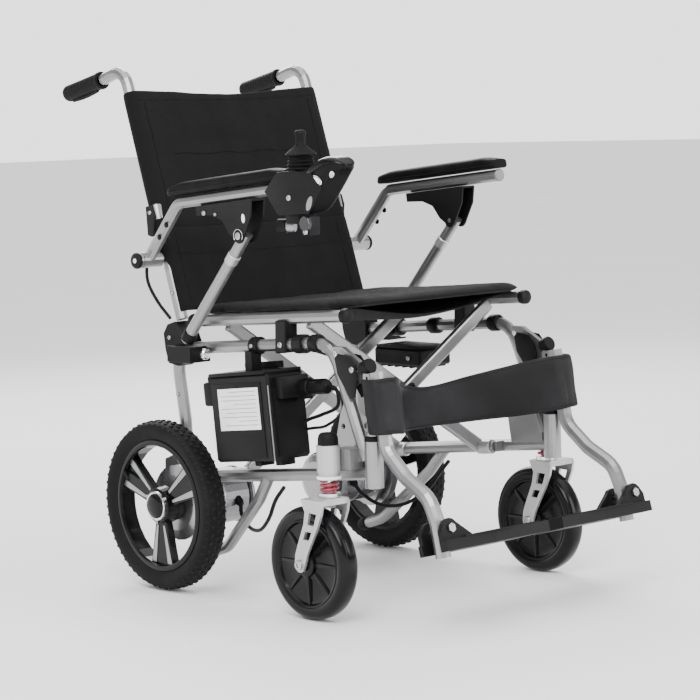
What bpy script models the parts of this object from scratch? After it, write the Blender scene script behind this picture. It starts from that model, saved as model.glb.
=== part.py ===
"""Folding power wheelchair, built as an assembly of separate parts.

Metres, +Z up. The chair faces -Y, so its right-hand side is at -X. Everything is laid out in a chair frame whose
Y is zero at the rear axle and whose X is zero midway between the side frames. One empty carries that frame.
"""

import math

import bmesh
import bpy
from mathutils import Matrix, Vector

# ---- driving dimensions -------------------------------------------------------------------------------------------
REAR_AXLE_Y = 0.1926          # rear axle behind the middle of the overall length
GAP = 0.0004                  # clearance between touching pieces
TUBE_R = 0.011                # frame tubes
FRAME_X = 0.215               # side frame plane
WHEEL_R = 0.1525              # 12 inch rear wheel
WHEEL_X = 0.269               # middle of the tyre
TYRE_W = 0.047
RIM_R = 0.118
AXLE_R = 0.008
MOTOR_IN_X = 0.090            # inner end of each motor
MOTOR_R = 0.050
CASTER_R = 0.0958
CASTER_X = 0.274
CASTER_Y = -0.404
SWIVEL_X = 0.262
SWIVEL_Y = -0.435
SLOPE = 0.101                 # the lower tubes rise this much for each metre forward
PIVOT_X = 0.193               # cross brace hinge lines
PIVOT_FRONT_Y = -0.352
PIVOT_REAR_Y = -0.130
SEAT_X = 0.214
SEAT_REAR = (-0.036, 0.479)
SEAT_FRONT = (-0.436, 0.504)
BRACE_T = 0.012               # cross brace bar thickness, along Y
BRACE_H = 0.024
SOCKET_Y = -0.495
HANGER_R = 0.0128
HANGER_X = 0.222
PLATE_PIN = (-0.650, 0.168)   # footplate hinge pin, y and z
PLATE_TILT = math.radians(16)
CANE_FOOT = (-0.001, 0.4805)
CANE_TOP = (0.126, 0.880)
FOLD_Z = 0.651                # height where the back folds
HINGE_BACK = 0.022            # back hinge pin behind the cane's axis
ELBOW = (0.042, 0.588)
ARM_X = 0.252
ARM_REAR = (-0.052, 0.6905)
ARM_FRONT = (-0.345, 0.7185)
STRUT_PIN = (-0.230, 0.636)
STRUT_FOOT = (-0.0590, 0.4480)
POD_X = -0.250
STICK = (-0.377, 0.752)       # joystick pivot, y and z

COLLECTION = "power_wheelchair"
SIDES = (("right", -1), ("left", 1))


# ---- scene set-up -------------------------------------------------------------------------------------------------
for old in list(bpy.data.objects):
    bpy.data.objects.remove(old, do_unlink=True)
parts = bpy.data.collections.new(COLLECTION)
cutters = bpy.data.collections.new("cutters")
bpy.context.scene.collection.children.link(parts)
bpy.context.scene.collection.children.link(cutters)
chair = bpy.data.objects.new("chair_frame_origin", None)
chair.location = (0, REAR_AXLE_Y, 0)
parts.objects.link(chair)


def material(name, colour, roughness, metallic=0.0):
    made = bpy.data.materials.new(name)
    made.use_nodes = True
    shader = made.node_tree.nodes["Principled BSDF"]
    shader.inputs["Base Color"].default_value = (*colour, 1)
    shader.inputs["Roughness"].default_value = roughness
    shader.inputs["Metallic"].default_value = metallic
    return made


SILVER = material("silver_paint", (0.62, 0.62, 0.61), 0.32, 0.6)
CAST = material("cast_alloy", (0.55, 0.55, 0.55), 0.4, 0.8)
BLACK = material("black_plastic", (0.02, 0.02, 0.021), 0.5)
GLOSS = material("gloss_black", (0.01, 0.01, 0.011), 0.15)
RUBBER = material("tyre_rubber", (0.018, 0.018, 0.019), 0.8)
PAD = material("armrest_pad", (0.015, 0.015, 0.016), 0.45)
CLOTH = material("black_cloth", (0.022, 0.022, 0.024), 0.9)
LEATHER = material("grey_leatherette", (0.055, 0.055, 0.058), 0.55)
RED = material("red_spring", (0.5, 0.02, 0.02), 0.4)


# ---- helpers ------------------------------------------------------------------------------------------------------
def mesh_object(name, mesh):
    made = bpy.data.objects.new(name, mesh)
    cutters.objects.link(made)
    return made


def from_bmesh(bm, name="piece"):
    bmesh.ops.recalc_face_normals(bm, faces=bm.faces)
    mesh = bpy.data.meshes.new(name)
    bm.to_mesh(mesh)
    bm.free()
    return mesh_object(name, mesh)


def baked(obj, weld=0.00001):
    """Replace an object with a plain mesh of its evaluated shape."""
    depsgraph = bpy.context.evaluated_depsgraph_get()
    mesh = bpy.data.meshes.new_from_object(obj.evaluated_get(depsgraph))
    mesh.transform(obj.matrix_world)
    bm = bmesh.new()
    bm.from_mesh(mesh)
    bmesh.ops.remove_doubles(bm, verts=bm.verts, dist=weld)
    bmesh.ops.recalc_face_normals(bm, faces=bm.faces)
    bm.to_mesh(mesh)
    bm.free()
    bpy.data.objects.remove(obj, do_unlink=True)
    return mesh_object("piece", mesh)


def rounded(points, radius, steps=5):
    """The polyline through points, with each inner corner turned on an arc."""
    points = [Vector(p) for p in points]
    out = [points[0]]
    for before, corner, after in zip(points, points[1:], points[2:]):
        into, away = (before - corner), (after - corner)
        half = into.angle(away) / 2
        reach = min(radius / math.tan(half), into.length * 0.49, away.length * 0.49)
        start, end = corner + into.normalized() * reach, corner + away.normalized() * reach
        turn = reach * math.tan(half)
        middle = corner + (into.normalized() + away.normalized()).normalized() * math.hypot(reach, turn)
        sweep = math.pi - 2 * half
        for i in range(steps + 1):
            angle = sweep * i / steps
            spread = math.sin(sweep)
            first = (start - middle) * (math.sin(sweep - angle) / spread)
            out.append(middle + first + (end - middle) * (math.sin(angle) / spread))
    return out + [points[-1]]


def tube(points, radius, bend=0.04, sides=10, steps=4):
    """A bent round bar or tube as a closed mesh."""
    curve = bpy.data.curves.new("tube", "CURVE")
    curve.dimensions = "3D"
    curve.bevel_depth = radius
    curve.bevel_resolution = (sides - 4) // 2
    curve.use_fill_caps = True
    route = rounded(points, bend, steps) if len(points) > 2 and bend else [Vector(p) for p in points]
    spline = curve.splines.new("POLY")
    spline.points.add(len(route) - 1)
    for point, place in zip(spline.points, route):
        point.co = (*place, 1)
    obj = bpy.data.objects.new("tube", curve)
    cutters.objects.link(obj)
    bpy.context.view_layer.update()
    return baked(obj)


def box(centre, size, tilt=0.0):
    """A box; tilt turns it about X, front end up."""
    bm = bmesh.new()
    bmesh.ops.create_cube(bm, size=1)
    bmesh.ops.scale(bm, vec=size, verts=bm.verts)
    turn = Matrix.Rotation(-tilt, 4, "X")
    bmesh.ops.transform(bm, matrix=Matrix.Translation(centre) @ turn, verts=bm.verts)
    return from_bmesh(bm)


def rod(start, end, radius, sides=16, end_radius=None):
    """A straight cylinder or cone between two points."""
    start, end = Vector(start), Vector(end)
    along = end - start
    bm = bmesh.new()
    bmesh.ops.create_cone(bm, cap_ends=True, segments=sides, radius1=radius,
                          radius2=radius if end_radius is None else end_radius, depth=along.length)
    turn = along.to_track_quat("Z", "Y").to_matrix().to_4x4()
    bmesh.ops.transform(bm, matrix=Matrix.Translation((start + end) / 2) @ turn, verts=bm.verts)
    return from_bmesh(bm)


def plate(outline, low_x, high_x, holes=()):
    """A flat plate in a plane of constant X; outline is (y, z) points and holes are (y, z, radius)."""
    curve = bpy.data.curves.new("plate", "CURVE")
    curve.dimensions = "2D"
    curve.fill_mode = "BOTH"
    curve.extrude = abs(high_x - low_x) / 2
    for ring in [list(outline)] + [circle(y, z, r) for y, z, r in holes]:
        spline = curve.splines.new("POLY")
        spline.points.add(len(ring) - 1)
        for point, (y, z) in zip(spline.points, ring):
            point.co = (y, z, 0, 1)
        spline.use_cyclic_u = True
    obj = bpy.data.objects.new("plate", curve)
    # local x, y and z become the chair's Y, Z and X
    obj.matrix_world = Matrix(((0, 0, 1, (low_x + high_x) / 2), (1, 0, 0, 0), (0, 1, 0, 0), (0, 0, 0, 1)))
    cutters.objects.link(obj)
    bpy.context.view_layer.update()
    return baked(obj)


def circle(y, z, radius, count=14):
    return [(y + radius * math.cos(math.tau * i / count), z + radius * math.sin(math.tau * i / count))
            for i in range(count)]


def arc(y, z, radius, start, end, count=6):
    """Points on an arc, angles in degrees from +Y towards +Z."""
    angles = [math.radians(start + (end - start) * i / count) for i in range(count + 1)]
    return [(y + radius * math.cos(a), z + radius * math.sin(a)) for a in angles]


def turned(profile, centre, side=1, steps=32, closed=False):
    """A profile of (radius, offset) turned about an X-wise axis; offset grows away from the chair's middle."""
    bm = bmesh.new()
    verts = [bm.verts.new((radius, 0, -offset)) for radius, offset in profile]
    for a, b in zip(verts, verts[1:]):
        bm.edges.new((a, b))
    if closed:
        bm.edges.new((verts[-1], verts[0]))
    mesh = bpy.data.meshes.new("profile")
    bm.to_mesh(mesh)
    bm.free()
    obj = mesh_object("turned", mesh)
    screw = obj.modifiers.new("turn", "SCREW")
    screw.steps = steps
    screw.render_steps = steps
    screw.use_merge_vertices = True
    screw.merge_threshold = 0.00005
    screw.use_normal_calculate = True
    # local -Z becomes the outward side
    obj.matrix_world = Matrix.Translation(centre) @ Matrix.Rotation(-side * math.pi / 2, 4, "Y")
    bpy.context.view_layer.update()
    return baked(obj)


def combine(target, others, operation):
    for other in others:
        cut = target.modifiers.new(operation, "BOOLEAN")
        cut.operation = operation
        cut.object = other
        cut.solver = "EXACT"
    bpy.context.view_layer.update()
    made = baked(target, 0.000002)
    for other in others:
        bpy.data.objects.remove(other, do_unlink=True)
    return made


def union(*pieces):
    return combine(pieces[0], pieces[1:], "UNION") if len(pieces) > 1 else pieces[0]


def cut(target, *tools):
    return combine(target, tools, "DIFFERENCE")


def part(name, obj, look, origin=(0, 0, 0), smooth=35):
    """Name a finished piece, give it its material and put its origin on its joint's axis."""
    origin = Vector(origin)
    mesh = obj.data
    mesh.transform(Matrix.Translation(-origin))
    mesh.shade_smooth()
    mesh.set_sharp_from_angle(angle=math.radians(smooth))
    mesh.materials.clear()
    mesh.materials.append(look)
    made = bpy.data.objects.new(name, mesh)
    mesh.name = name
    bpy.data.objects.remove(obj, do_unlink=True)
    parts.objects.link(made)
    made.parent = chair
    made.location = origin
    return made


def softened(obj, width, segments=1):
    bevel = obj.modifiers.new("edges", "BEVEL")
    bevel.width = width
    bevel.segments = segments
    bevel.limit_method = "ANGLE"
    bevel.angle_limit = math.radians(40)
    bpy.context.view_layer.update()
    return baked(obj)


def low_z(y):
    """Height of the lower tube's axis."""
    return 0.1962 - SLOPE * y


def seat_z(y):
    """Height of the seat tube's axis."""
    (y0, z0), (y1, z1) = SEAT_REAR, SEAT_FRONT
    return z0 + (y - y0) * (z1 - z0) / (y1 - y0)


def mid_z(y):
    """Height of the upper frame tube's axis."""
    return 0.428 - 0.0735 * (y - 0.004)


def arm_z(y):
    """Height of the armrest tube's axis."""
    (y0, z0), (y1, z1) = ARM_REAR, ARM_FRONT
    return z0 + (y - y0) * (z1 - z0) / (y1 - y0)


CANE = (Vector((0, CANE_TOP[0], CANE_TOP[1])) - Vector((0, CANE_FOOT[0], CANE_FOOT[1]))).normalized()
CANE_BACK = Vector((0, CANE.z, -CANE.y))


def cane_at(z):
    """Point of the back cane's axis at a height, in the plane X = 0."""
    foot = Vector((0, CANE_FOOT[0], CANE_FOOT[1]))
    return foot + CANE * ((z - CANE_FOOT[1]) / CANE.z)


BACK_PIN = cane_at(FOLD_Z) + CANE_BACK * HINGE_BACK


# ---- side frames --------------------------------------------------------------------------------------------------
def side_frame(name, s):
    x = s * FRAME_X
    upper = tube([(x, 0.004, 0.428), (x, -0.400, mid_z(-0.400)), (x, -0.480, 0.266)], TUBE_R, 0.052)
    lower = tube([(x, -0.004, low_z(-0.004)), (x, -0.489, low_z(-0.489))], TUBE_R)
    post = tube([(x, 0.006, 0.434), (x, 0.013, 0.388), (x, -0.001, 0.300), (x, -0.003, 0.190)], TUBE_R, 0.06, 10, 3)
    socket = rod((x, SOCKET_Y, 0.222), (x, SOCKET_Y, 0.300), 0.0155, 16)
    axle_plate = plate([(-0.055, 0.135), (-0.055, 0.170), (-0.060, 0.197), (0.010, 0.190), (0.030, 0.235),
                        (0.058, 0.225), (0.062, 0.170), (0.055, 0.135), (0.030, 0.096), (-0.030, 0.096)],
                       x - 0.004, x + 0.004)
    gusset = plate([(-0.438, 0.372), (-0.452, 0.340), (-0.474, 0.300), (-0.482, 0.240), (-0.462, 0.236),
                    (-0.404, 0.240), (-0.396, 0.290), (-0.410, 0.340), (-0.424, 0.366)],
                   x - s * 0.0075 - 0.002, x - s * 0.0075 + 0.002, [(-0.416, 0.318, 0.005)])
    clamp = box((s * 0.232, -0.452, 0.270), (0.030, 0.040, 0.034))
    latch = plate([(-0.405, 0.434), (-0.408, 0.452), (-0.430, 0.452), (-0.474, 0.428), (-0.478, 0.398),
                   (-0.450, 0.386), (-0.436, 0.400)], x - 0.0045, x + 0.0045, [(-0.463, 0.414, 0.004)])
    lugs = [box((s * (PIVOT_X + 0.008), y, low_z(y)), (0.022, 0.006, 0.018), math.atan(SLOPE))
            for y in (PIVOT_FRONT_Y - 0.0275, PIVOT_REAR_Y + 0.0275)]
    lever = tube([(x, -0.228, low_z(-0.228)), (s * 0.208, -0.190, 0.172), (s * 0.190, -0.078, 0.074),
                  (s * 0.188, -0.034, 0.060)], 0.0105, 0.05, 10, 3)
    frame = union(upper, lower, post, socket, axle_plate, gusset, clamp, latch, lever, *lugs)
    motor_bore = rod((x - 0.02, 0, WHEEL_R), (x + 0.02, 0, WHEEL_R), MOTOR_R + 0.0012, 32)
    socket_bore = rod((x, SOCKET_Y, 0.262), (x, SOCKET_Y, 0.310), 0.0119, 12)
    housing_bore = rod((s * SWIVEL_X, SWIVEL_Y, 0.24), (s * SWIVEL_X, SWIVEL_Y, 0.30), 0.0196 + GAP, 24)
    return part(name, cut(frame, motor_bore, socket_bore, housing_bore), SILVER)


def hinge_block(name, s):
    x = s * FRAME_X
    block = plate([(-0.034, 0.412), (-0.036, 0.440), (-0.026, 0.460), (0.000, 0.4775), (0.022, 0.4715),
                   (0.034, 0.455), (0.030, 0.425), (0.022, 0.402), (-0.006, 0.398)], x - 0.0165, x + 0.0165)
    rest = box((x + s * 0.024, -0.046, 0.4235), (0.046, 0.066, 0.028))
    frame_tubes = [tube([(x, 0.03, 0.426), (x, -0.12, mid_z(-0.12))], TUBE_R + GAP, 0),
                   tube([(x, 0.0045, 0.444), (x, 0.013, 0.388), (x, -0.001, 0.300)], TUBE_R + GAP, 0.06, 10, 3)]
    return part(name, cut(softened(union(block, rest), 0.003, 2), *frame_tubes), BLACK)


def saddle(name, s):
    x = s * FRAME_X
    body = plate([(-0.270, 0.434), (-0.296, 0.436), (-0.298, 0.492), (-0.272, 0.4905)], x - 0.0145, x + 0.0145)
    y0, y1 = -0.26, -0.31
    frame_tube = tube([(x, y0, mid_z(y0)), (x, y1, mid_z(y1))], TUBE_R + GAP, 0)
    seat_tube = tube([(s * SEAT_X, y0, seat_z(y0)), (s * SEAT_X, y1, seat_z(y1))], TUBE_R + GAP, 0)
    return part(name, cut(softened(body, 0.002, 1), frame_tube, seat_tube), BLACK)


def side_link(name, s, y):
    """Guide arm from a collar on the upper frame tube towards the cross brace."""
    x, z = s * FRAME_X, mid_z(y)
    collar = tube([(x, y + 0.011, z - 0.0008), (x, y - 0.011, z + 0.0008)], 0.0165, 0, 16)
    droop = math.radians(-18)
    tip = Vector((x - s * 0.160 * math.cos(droop), y, z + 0.160 * math.sin(droop)))
    root = Vector((x, y, z))
    bm = bmesh.new()
    bmesh.ops.create_cube(bm, size=1)
    bmesh.ops.scale(bm, vec=((tip - root).length, 0.0055, 0.014), verts=bm.verts)
    turn = Matrix.Rotation(-math.atan2((tip - root).z, (tip - root).x), 4, "Y")
    bmesh.ops.transform(bm, matrix=Matrix.Translation((root + tip) / 2) @ turn, verts=bm.verts)
    eye = rod(tip + Vector((0, 0.00275, 0)), tip - Vector((0, 0.00275, 0)), 0.010, 16)
    arm = union(collar, from_bmesh(bm), eye)
    frame_tube = tube([(x, y + 0.04, mid_z(y + 0.04)), (x, y - 0.04, mid_z(y - 0.04))], TUBE_R + 0.0014, 0)
    return part(name, cut(arm, frame_tube), BLACK, root)


# ---- cross brace --------------------------------------------------------------------------------------------------
def cross_brace(name, s, bar_ys):
    """Two bars joining the hinge tube on one side to the seat tube on the other side."""
    def foot(y):
        return Vector((s * PIVOT_X, y, low_z(y)))

    def head(y):
        return Vector((-s * (SEAT_X - 0.005), y, seat_z(y) - 0.0075))

    front, rear = PIVOT_FRONT_Y - 0.023, PIVOT_REAR_Y + 0.023
    pieces = [tube([foot(front), foot(rear)], 0.0095, 0),
              tube([(-s * SEAT_X, *SEAT_REAR), (-s * SEAT_X, *SEAT_FRONT)], TUBE_R, 0)]
    for y in bar_ys:
        along = head(y) - foot(y)
        bm = bmesh.new()
        bmesh.ops.create_cube(bm, size=1)
        bmesh.ops.scale(bm, vec=(along.length, BRACE_T, BRACE_H), verts=bm.verts)
        turn = Matrix.Rotation(-math.atan2(along.z, along.x), 4, "Y")
        bmesh.ops.transform(bm, matrix=Matrix.Translation((foot(y) + head(y)) / 2) @ turn, verts=bm.verts)
        pieces.append(softened(from_bmesh(bm), 0.0035, 2))
    return part(name, union(*pieces), SILVER, foot(PIVOT_FRONT_Y))


# ---- rear wheels and motors ---------------------------------------------------------------------------------------
def motor(name, s):
    centre = (0, 0, WHEEL_R)
    profile = [(0, MOTOR_IN_X), (0.034, MOTOR_IN_X), (0.046, MOTOR_IN_X + 0.006), (0.046, MOTOR_IN_X + 0.022),
               (MOTOR_R, MOTOR_IN_X + 0.024), (MOTOR_R, 0.2268), (0.067, 0.2275), (0.068, 0.2405), (0.050, 0.2450),
               (AXLE_R, 0.2458), (AXLE_R, 0.2790), (0, 0.2790)]
    body = turned(profile, centre, s, 24)
    return part(name, body, CAST, (s * 0.2, 0, WHEEL_R))


def tyre(name, s):
    half, outer = TYRE_W / 2, WHEEL_R
    profile = [(RIM_R + 0.0005, -0.016), (RIM_R + 0.010, -0.0215), (outer - 0.016, -half), (outer - 0.005, -0.019),
               (outer, -0.009), (outer, 0.009), (outer - 0.005, 0.019), (outer - 0.016, half),
               (RIM_R + 0.010, 0.0215), (RIM_R + 0.0005, 0.016)]
    ring = turned([(r, x + WHEEL_X) for r, x in profile], (0, 0, WHEEL_R), s, 30, True)
    return part(name, ring, RUBBER, (s * WHEEL_X, 0, WHEEL_R))


def rim(name, s):
    bore, inner = AXLE_R + 0.0005, 0.107
    hoop_profile = [(inner, -0.0145), (inner + 0.004, -0.017), (RIM_R, -0.0155), (RIM_R, 0.0155),
                    (inner + 0.004, 0.017), (inner, 0.0145)]
    hoop = turned([(r, x + WHEEL_X) for r, x in hoop_profile], (0, 0, WHEEL_R), s, 30, True)
    hub_profile = [(bore, -0.0215), (0.030, -0.0215), (0.034, -0.002), (0.031, 0.0165), (0.022, 0.0205),
                   (bore, 0.0205)]
    hub = turned([(r, x + WHEEL_X) for r, x in hub_profile], (0, 0, WHEEL_R), s, 24, True)
    pieces = [hoop, hub]
    for turn in (-90, 30, 150):
        spoke = [(-0.013, 0.024), (0.013, 0.024), (0.032, inner + 0.003), (-0.032, inner + 0.003)]
        a = math.radians(turn - 90)
        ring = [(y * math.cos(a) - z * math.sin(a), WHEEL_R + y * math.sin(a) + z * math.cos(a)) for y, z in spoke]
        low = s * WHEEL_X - s * 0.004
        pieces.append(plate(ring, low, low + s * 0.014))
    return part(name, union(*pieces), GLOSS, (s * WHEEL_X, 0, WHEEL_R))


# ---- casters ------------------------------------------------------------------------------------------------------
def caster_housing(name, s):
    x, y = s * SWIVEL_X, SWIVEL_Y
    barrel = rod((x, y, 0.249), (x, y, 0.294), 0.0196, 24)
    collar = rod((x, y, 0.2385), (x, y, 0.250), 0.0180, 24)
    dome = union(rod((x, y, 0.2935), (x, y, 0.305), 0.0165, 20), rod((x, y, 0.304), (x, y, 0.314), 0.0163, 20, 0.011))
    bore = rod((x, y, 0.22), (x, y, 0.296), 0.0075, 16)
    return part(name, cut(union(barrel, collar, dome), bore), SILVER, (x, y, 0.24))


def caster_spring(name, s):
    """Closed sleeve in the coil's outer shape, round the stem."""
    x, y = s * SWIVEL_X, SWIVEL_Y
    sleeve = cut(rod((x, y, 0.2150), (x, y, 0.2378), 0.0165, 16), rod((x, y, 0.21), (x, y, 0.24), 0.0078, 12))
    return part(name, sleeve, RED, (x, y, 0.2378))


def caster_stem(name, s):
    x, y = s * SWIVEL_X, SWIVEL_Y
    washer = rod((x, y, 0.2085), (x, y, 0.2142), 0.0185, 20)
    stem = rod((x, y, 0.1945), (x, y, 0.278), 0.0065, 12)
    return part(name, union(washer, stem), CAST, (x, y, 0.21))


def caster_fork(name, s):
    """One-piece fork: crown under the washer and a curved leg down each side of the wheel."""
    x, y, wheel_x = s * SWIVEL_X, SWIVEL_Y, s * CASTER_X
    crown = plate([(y - 0.022, 0.2078), (y - 0.026, 0.199), (y + 0.020, 0.1965), (y + 0.024, 0.2050),
                   (y + 0.018, 0.2078)], wheel_x - 0.0315, wheel_x + 0.0315)
    pieces = [crown]
    for leg in (-1, 1):
        outline = [(y - 0.026, 0.2000), (y - 0.020, 0.165), (y - 0.004, 0.128)]
        outline += arc(CASTER_Y, CASTER_R, 0.013, 200, 380, 8)
        outline += [(CASTER_Y - 0.002, 0.130), (y + 0.020, 0.165), (y + 0.021, 0.2000)]
        windows = [(y + 0.0015, 0.168, 0.009), (y + 0.014, 0.137, 0.006)]
        low = wheel_x + leg * 0.0290 - 0.0025
        pieces.append(plate(outline, low, low + 0.005, windows))
    pieces.append(rod((wheel_x - 0.030, CASTER_Y, CASTER_R), (wheel_x + 0.030, CASTER_Y, CASTER_R), 0.0055, 12))
    bore = rod((x, y, 0.18), (x, y, 0.209), 0.0071, 12)
    return part(name, cut(union(*pieces), bore), SILVER, (x, y, 0.2))


def caster_wheel(name, s):
    r, bore = CASTER_R, 0.0060
    profile = [(bore, -0.022), (0.020, -0.022), (0.024, -0.008), (0.066, -0.006), (0.071, -0.017), (0.088, -0.0175),
               (r, -0.007), (r, 0.007), (0.088, 0.0175), (0.071, 0.017), (0.066, 0.006), (0.024, 0.008),
               (0.020, 0.022), (bore, 0.022)]
    wheel = turned([(a, b + CASTER_X) for a, b in profile], (0, CASTER_Y, CASTER_R), s, 24, True)
    return part(name, wheel, GLOSS, (s * CASTER_X, CASTER_Y, CASTER_R))


# ---- back canes ---------------------------------------------------------------------------------------------------
def shifted(point, x):
    return Vector((x, point.y, point.z))


def lower_cane(name, s):
    x = s * SEAT_X
    top = cane_at(FOLD_Z) - CANE * 0.0004
    main = tube([shifted(cane_at(CANE_FOOT[1]), x), shifted(top, x)], TUBE_R, 0)
    ear_x = x - 0.0052
    corners = (top - CANE * 0.022 + CANE_BACK * 0.004, top - CANE * 0.001 + CANE_BACK * 0.004,
               top - CANE * 0.001 + CANE_BACK * 0.0128)
    ear = plate([tuple(p.yz) for p in corners] + arc(BACK_PIN.y, BACK_PIN.z, 0.0092, 160, -75),
                ear_x, ear_x + 0.0048)
    pin = rod((x - 0.0050, BACK_PIN.y, BACK_PIN.z), (x + 0.0080, BACK_PIN.y, BACK_PIN.z), 0.0038, 12)
    arm_pin = rod((x, *ELBOW), (s * 0.2715, *ELBOW), 0.0078, 16)
    arm_cap = rod((s * 0.2708, *ELBOW), (s * 0.2765, *ELBOW), 0.0135, 20)
    return part(name, union(main, ear, pin, arm_pin, arm_cap), SILVER)


def upper_cane(name, s):
    x = s * SEAT_X
    foot = cane_at(FOLD_Z) + CANE * 0.0004
    bend = cane_at(0.931)
    main = tube([shifted(foot, x), shifted(bend, x), (x, 0.206, 0.9125)], TUBE_R, 0.052, 10, 5)
    corners = (foot + CANE * 0.022 + CANE_BACK * 0.004, foot + CANE * 0.001 + CANE_BACK * 0.004,
               foot + CANE * 0.001 + CANE_BACK * 0.0128)
    ear = plate([tuple(p.yz) for p in corners] + arc(BACK_PIN.y, BACK_PIN.z, 0.0092, 165, 400),
                x + 0.0004, x + 0.0052)
    bore = rod((x - 0.002, BACK_PIN.y, BACK_PIN.z), (x + 0.010, BACK_PIN.y, BACK_PIN.z), 0.0044, 12)
    return part(name, cut(union(main, ear), bore), SILVER, (x, BACK_PIN.y, BACK_PIN.z))


def grip(name, s):
    x = s * SEAT_X
    body = tube([(x, 0.2082, 0.9120), (x, 0.316, 0.889)], 0.0155, 0, 12)
    return part(name, softened(body, 0.004), RUBBER, (x, BACK_PIN.y, BACK_PIN.z))


def hinge_lever(name, s):
    """Flip lever that frees the folding back."""
    pin = cane_at(FOLD_Z + 0.020)
    low = pin - CANE * 0.042 + CANE_BACK * 0.012
    outline = [tuple(p.yz) for p in (pin + CANE * 0.012 - CANE_BACK * 0.008, pin + CANE * 0.014 + CANE_BACK * 0.010,
                                     low + CANE * 0.006 + CANE_BACK * 0.010, low, low - CANE_BACK * 0.006,
                                     pin - CANE * 0.010 - CANE_BACK * 0.009)]
    x0 = s * (SEAT_X + TUBE_R + 0.0012)
    blade = softened(plate(outline, x0, x0 + s * 0.005), 0.0012, 1)
    return part(name, blade, BLACK, (x0, pin.y, pin.z))


# ---- armrests -----------------------------------------------------------------------------------------------------
def armrest_tube(name, s):
    x = s * ARM_X
    main = tube([(x, ELBOW[0], ELBOW[1]), (x, *ARM_REAR), (x, *ARM_FRONT)], TUBE_R, 0.030, 10, 4)
    sleeve = rod((s * 0.2280, *ELBOW), (s * 0.2700, *ELBOW), 0.0140, 20)
    bore = rod((s * 0.220, *ELBOW), (s * 0.280, *ELBOW), 0.0083, 16)
    return part(name, cut(union(main, sleeve), bore), SILVER, (x, *ELBOW))


def armrest_pad(name, s):
    y = -0.195
    slope = math.atan2(ARM_FRONT[1] - ARM_REAR[1], ARM_REAR[0] - ARM_FRONT[0])
    body = box((s * ARM_X, y, arm_z(y) + TUBE_R + 0.0131), (0.046, 0.310, 0.025), slope)
    return part(name, softened(body, 0.006), PAD, (s * ARM_X, *ELBOW))


def armrest_bracket(name, s):
    """Channel under the armrest tube that holds the strut's pin."""
    def under(y):
        return arm_z(y) - TUBE_R - 0.0006

    tip_y, tip_z = STRUT_PIN
    outline = [(-0.116, under(-0.116)), (-0.118, under(-0.118) - 0.016), (-0.160, under(-0.160) - 0.019),
               (-0.186, 0.662), (-0.204, 0.640)]
    outline += arc(tip_y, tip_z, 0.013, 200 + 140, 200, 6)
    outline += [(-0.262, 0.668), (-0.266, under(-0.266))]
    x = s * ARM_X
    body = plate(outline, x - 0.0155, x + 0.0155, [(tip_y, tip_z, 0.0046)])
    channel = plate([(-0.10, under(-0.10) - 0.0035), (-0.10, 0.58), (-0.29, 0.58), (-0.29, under(-0.29) - 0.0035)],
                    x - 0.0125, x + 0.0125)
    return part(name, cut(body, channel), BLACK, (x, *ELBOW))


def strut(name, s):
    x = s * ARM_X
    top, foot = Vector((x, *STRUT_PIN)), Vector((x, *STRUT_FOOT))
    main = rod(top + (top - foot).normalized() * 0.004, foot, 0.0105, 16)
    pin = rod((x - 0.0165, *STRUT_PIN), (x + 0.0165, *STRUT_PIN), 0.0040, 12)
    return part(name, union(main, pin), SILVER, top)


# ---- legrests -----------------------------------------------------------------------------------------------------
def hanger(name, s):
    x, front = s * FRAME_X, s * HANGER_X
    lean = (math.sin(math.radians(12)), math.cos(math.radians(12)))
    pin_y, pin_z = PLATE_PIN
    main = tube([(x, -0.5055, 0.414), (s * 0.216, -0.528, 0.285), (s * 0.219, -0.575, 0.246),
                 (front, -0.630, 0.218), (front, pin_y + lean[0] * 0.014, pin_z + lean[1] * 0.014),
                 (front, pin_y - lean[0] * 0.044, pin_z - lean[1] * 0.044)], HANGER_R, 0.045, 10, 3)
    upright = tube([(x, SOCKET_Y, 0.302), (x, SOCKET_Y, 0.402)], 0.0105, 0)
    pivot = rod((x, SOCKET_Y, 0.2640), (x, SOCKET_Y, 0.303), 0.0112, 12)
    collar = rod((x, SOCKET_Y, 0.3006), (x, SOCKET_Y, 0.314), 0.0130, 16)
    bridge = box((x, -0.498, 0.402), (0.022, 0.024, 0.020))
    frame = union(main, upright, pivot, collar, bridge)
    axis = Vector((0, -math.cos(PLATE_TILT), math.sin(PLATE_TILT)))
    centre = Vector((front, pin_y, pin_z))
    bore = rod(centre - axis * 0.03, centre + axis * 0.03, 0.0048, 12)
    return part(name, cut(frame, bore), SILVER, (x, SOCKET_Y, 0.30))


def flat_outline(outline, thickness, placing):
    """A slab from a flat outline, half its thickness to each side of the placing's XY plane."""
    curve = bpy.data.curves.new("outline", "CURVE")
    curve.dimensions = "2D"
    curve.fill_mode = "BOTH"
    curve.extrude = thickness / 2
    spline = curve.splines.new("POLY")
    spline.points.add(len(outline) - 1)
    for point, (a, b) in zip(spline.points, outline):
        point.co = (a, b, 0, 1)
    spline.use_cyclic_u = True
    obj = bpy.data.objects.new("outline", curve)
    obj.matrix_world = placing
    cutters.objects.link(obj)
    bpy.context.view_layer.update()
    return baked(obj)


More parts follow.
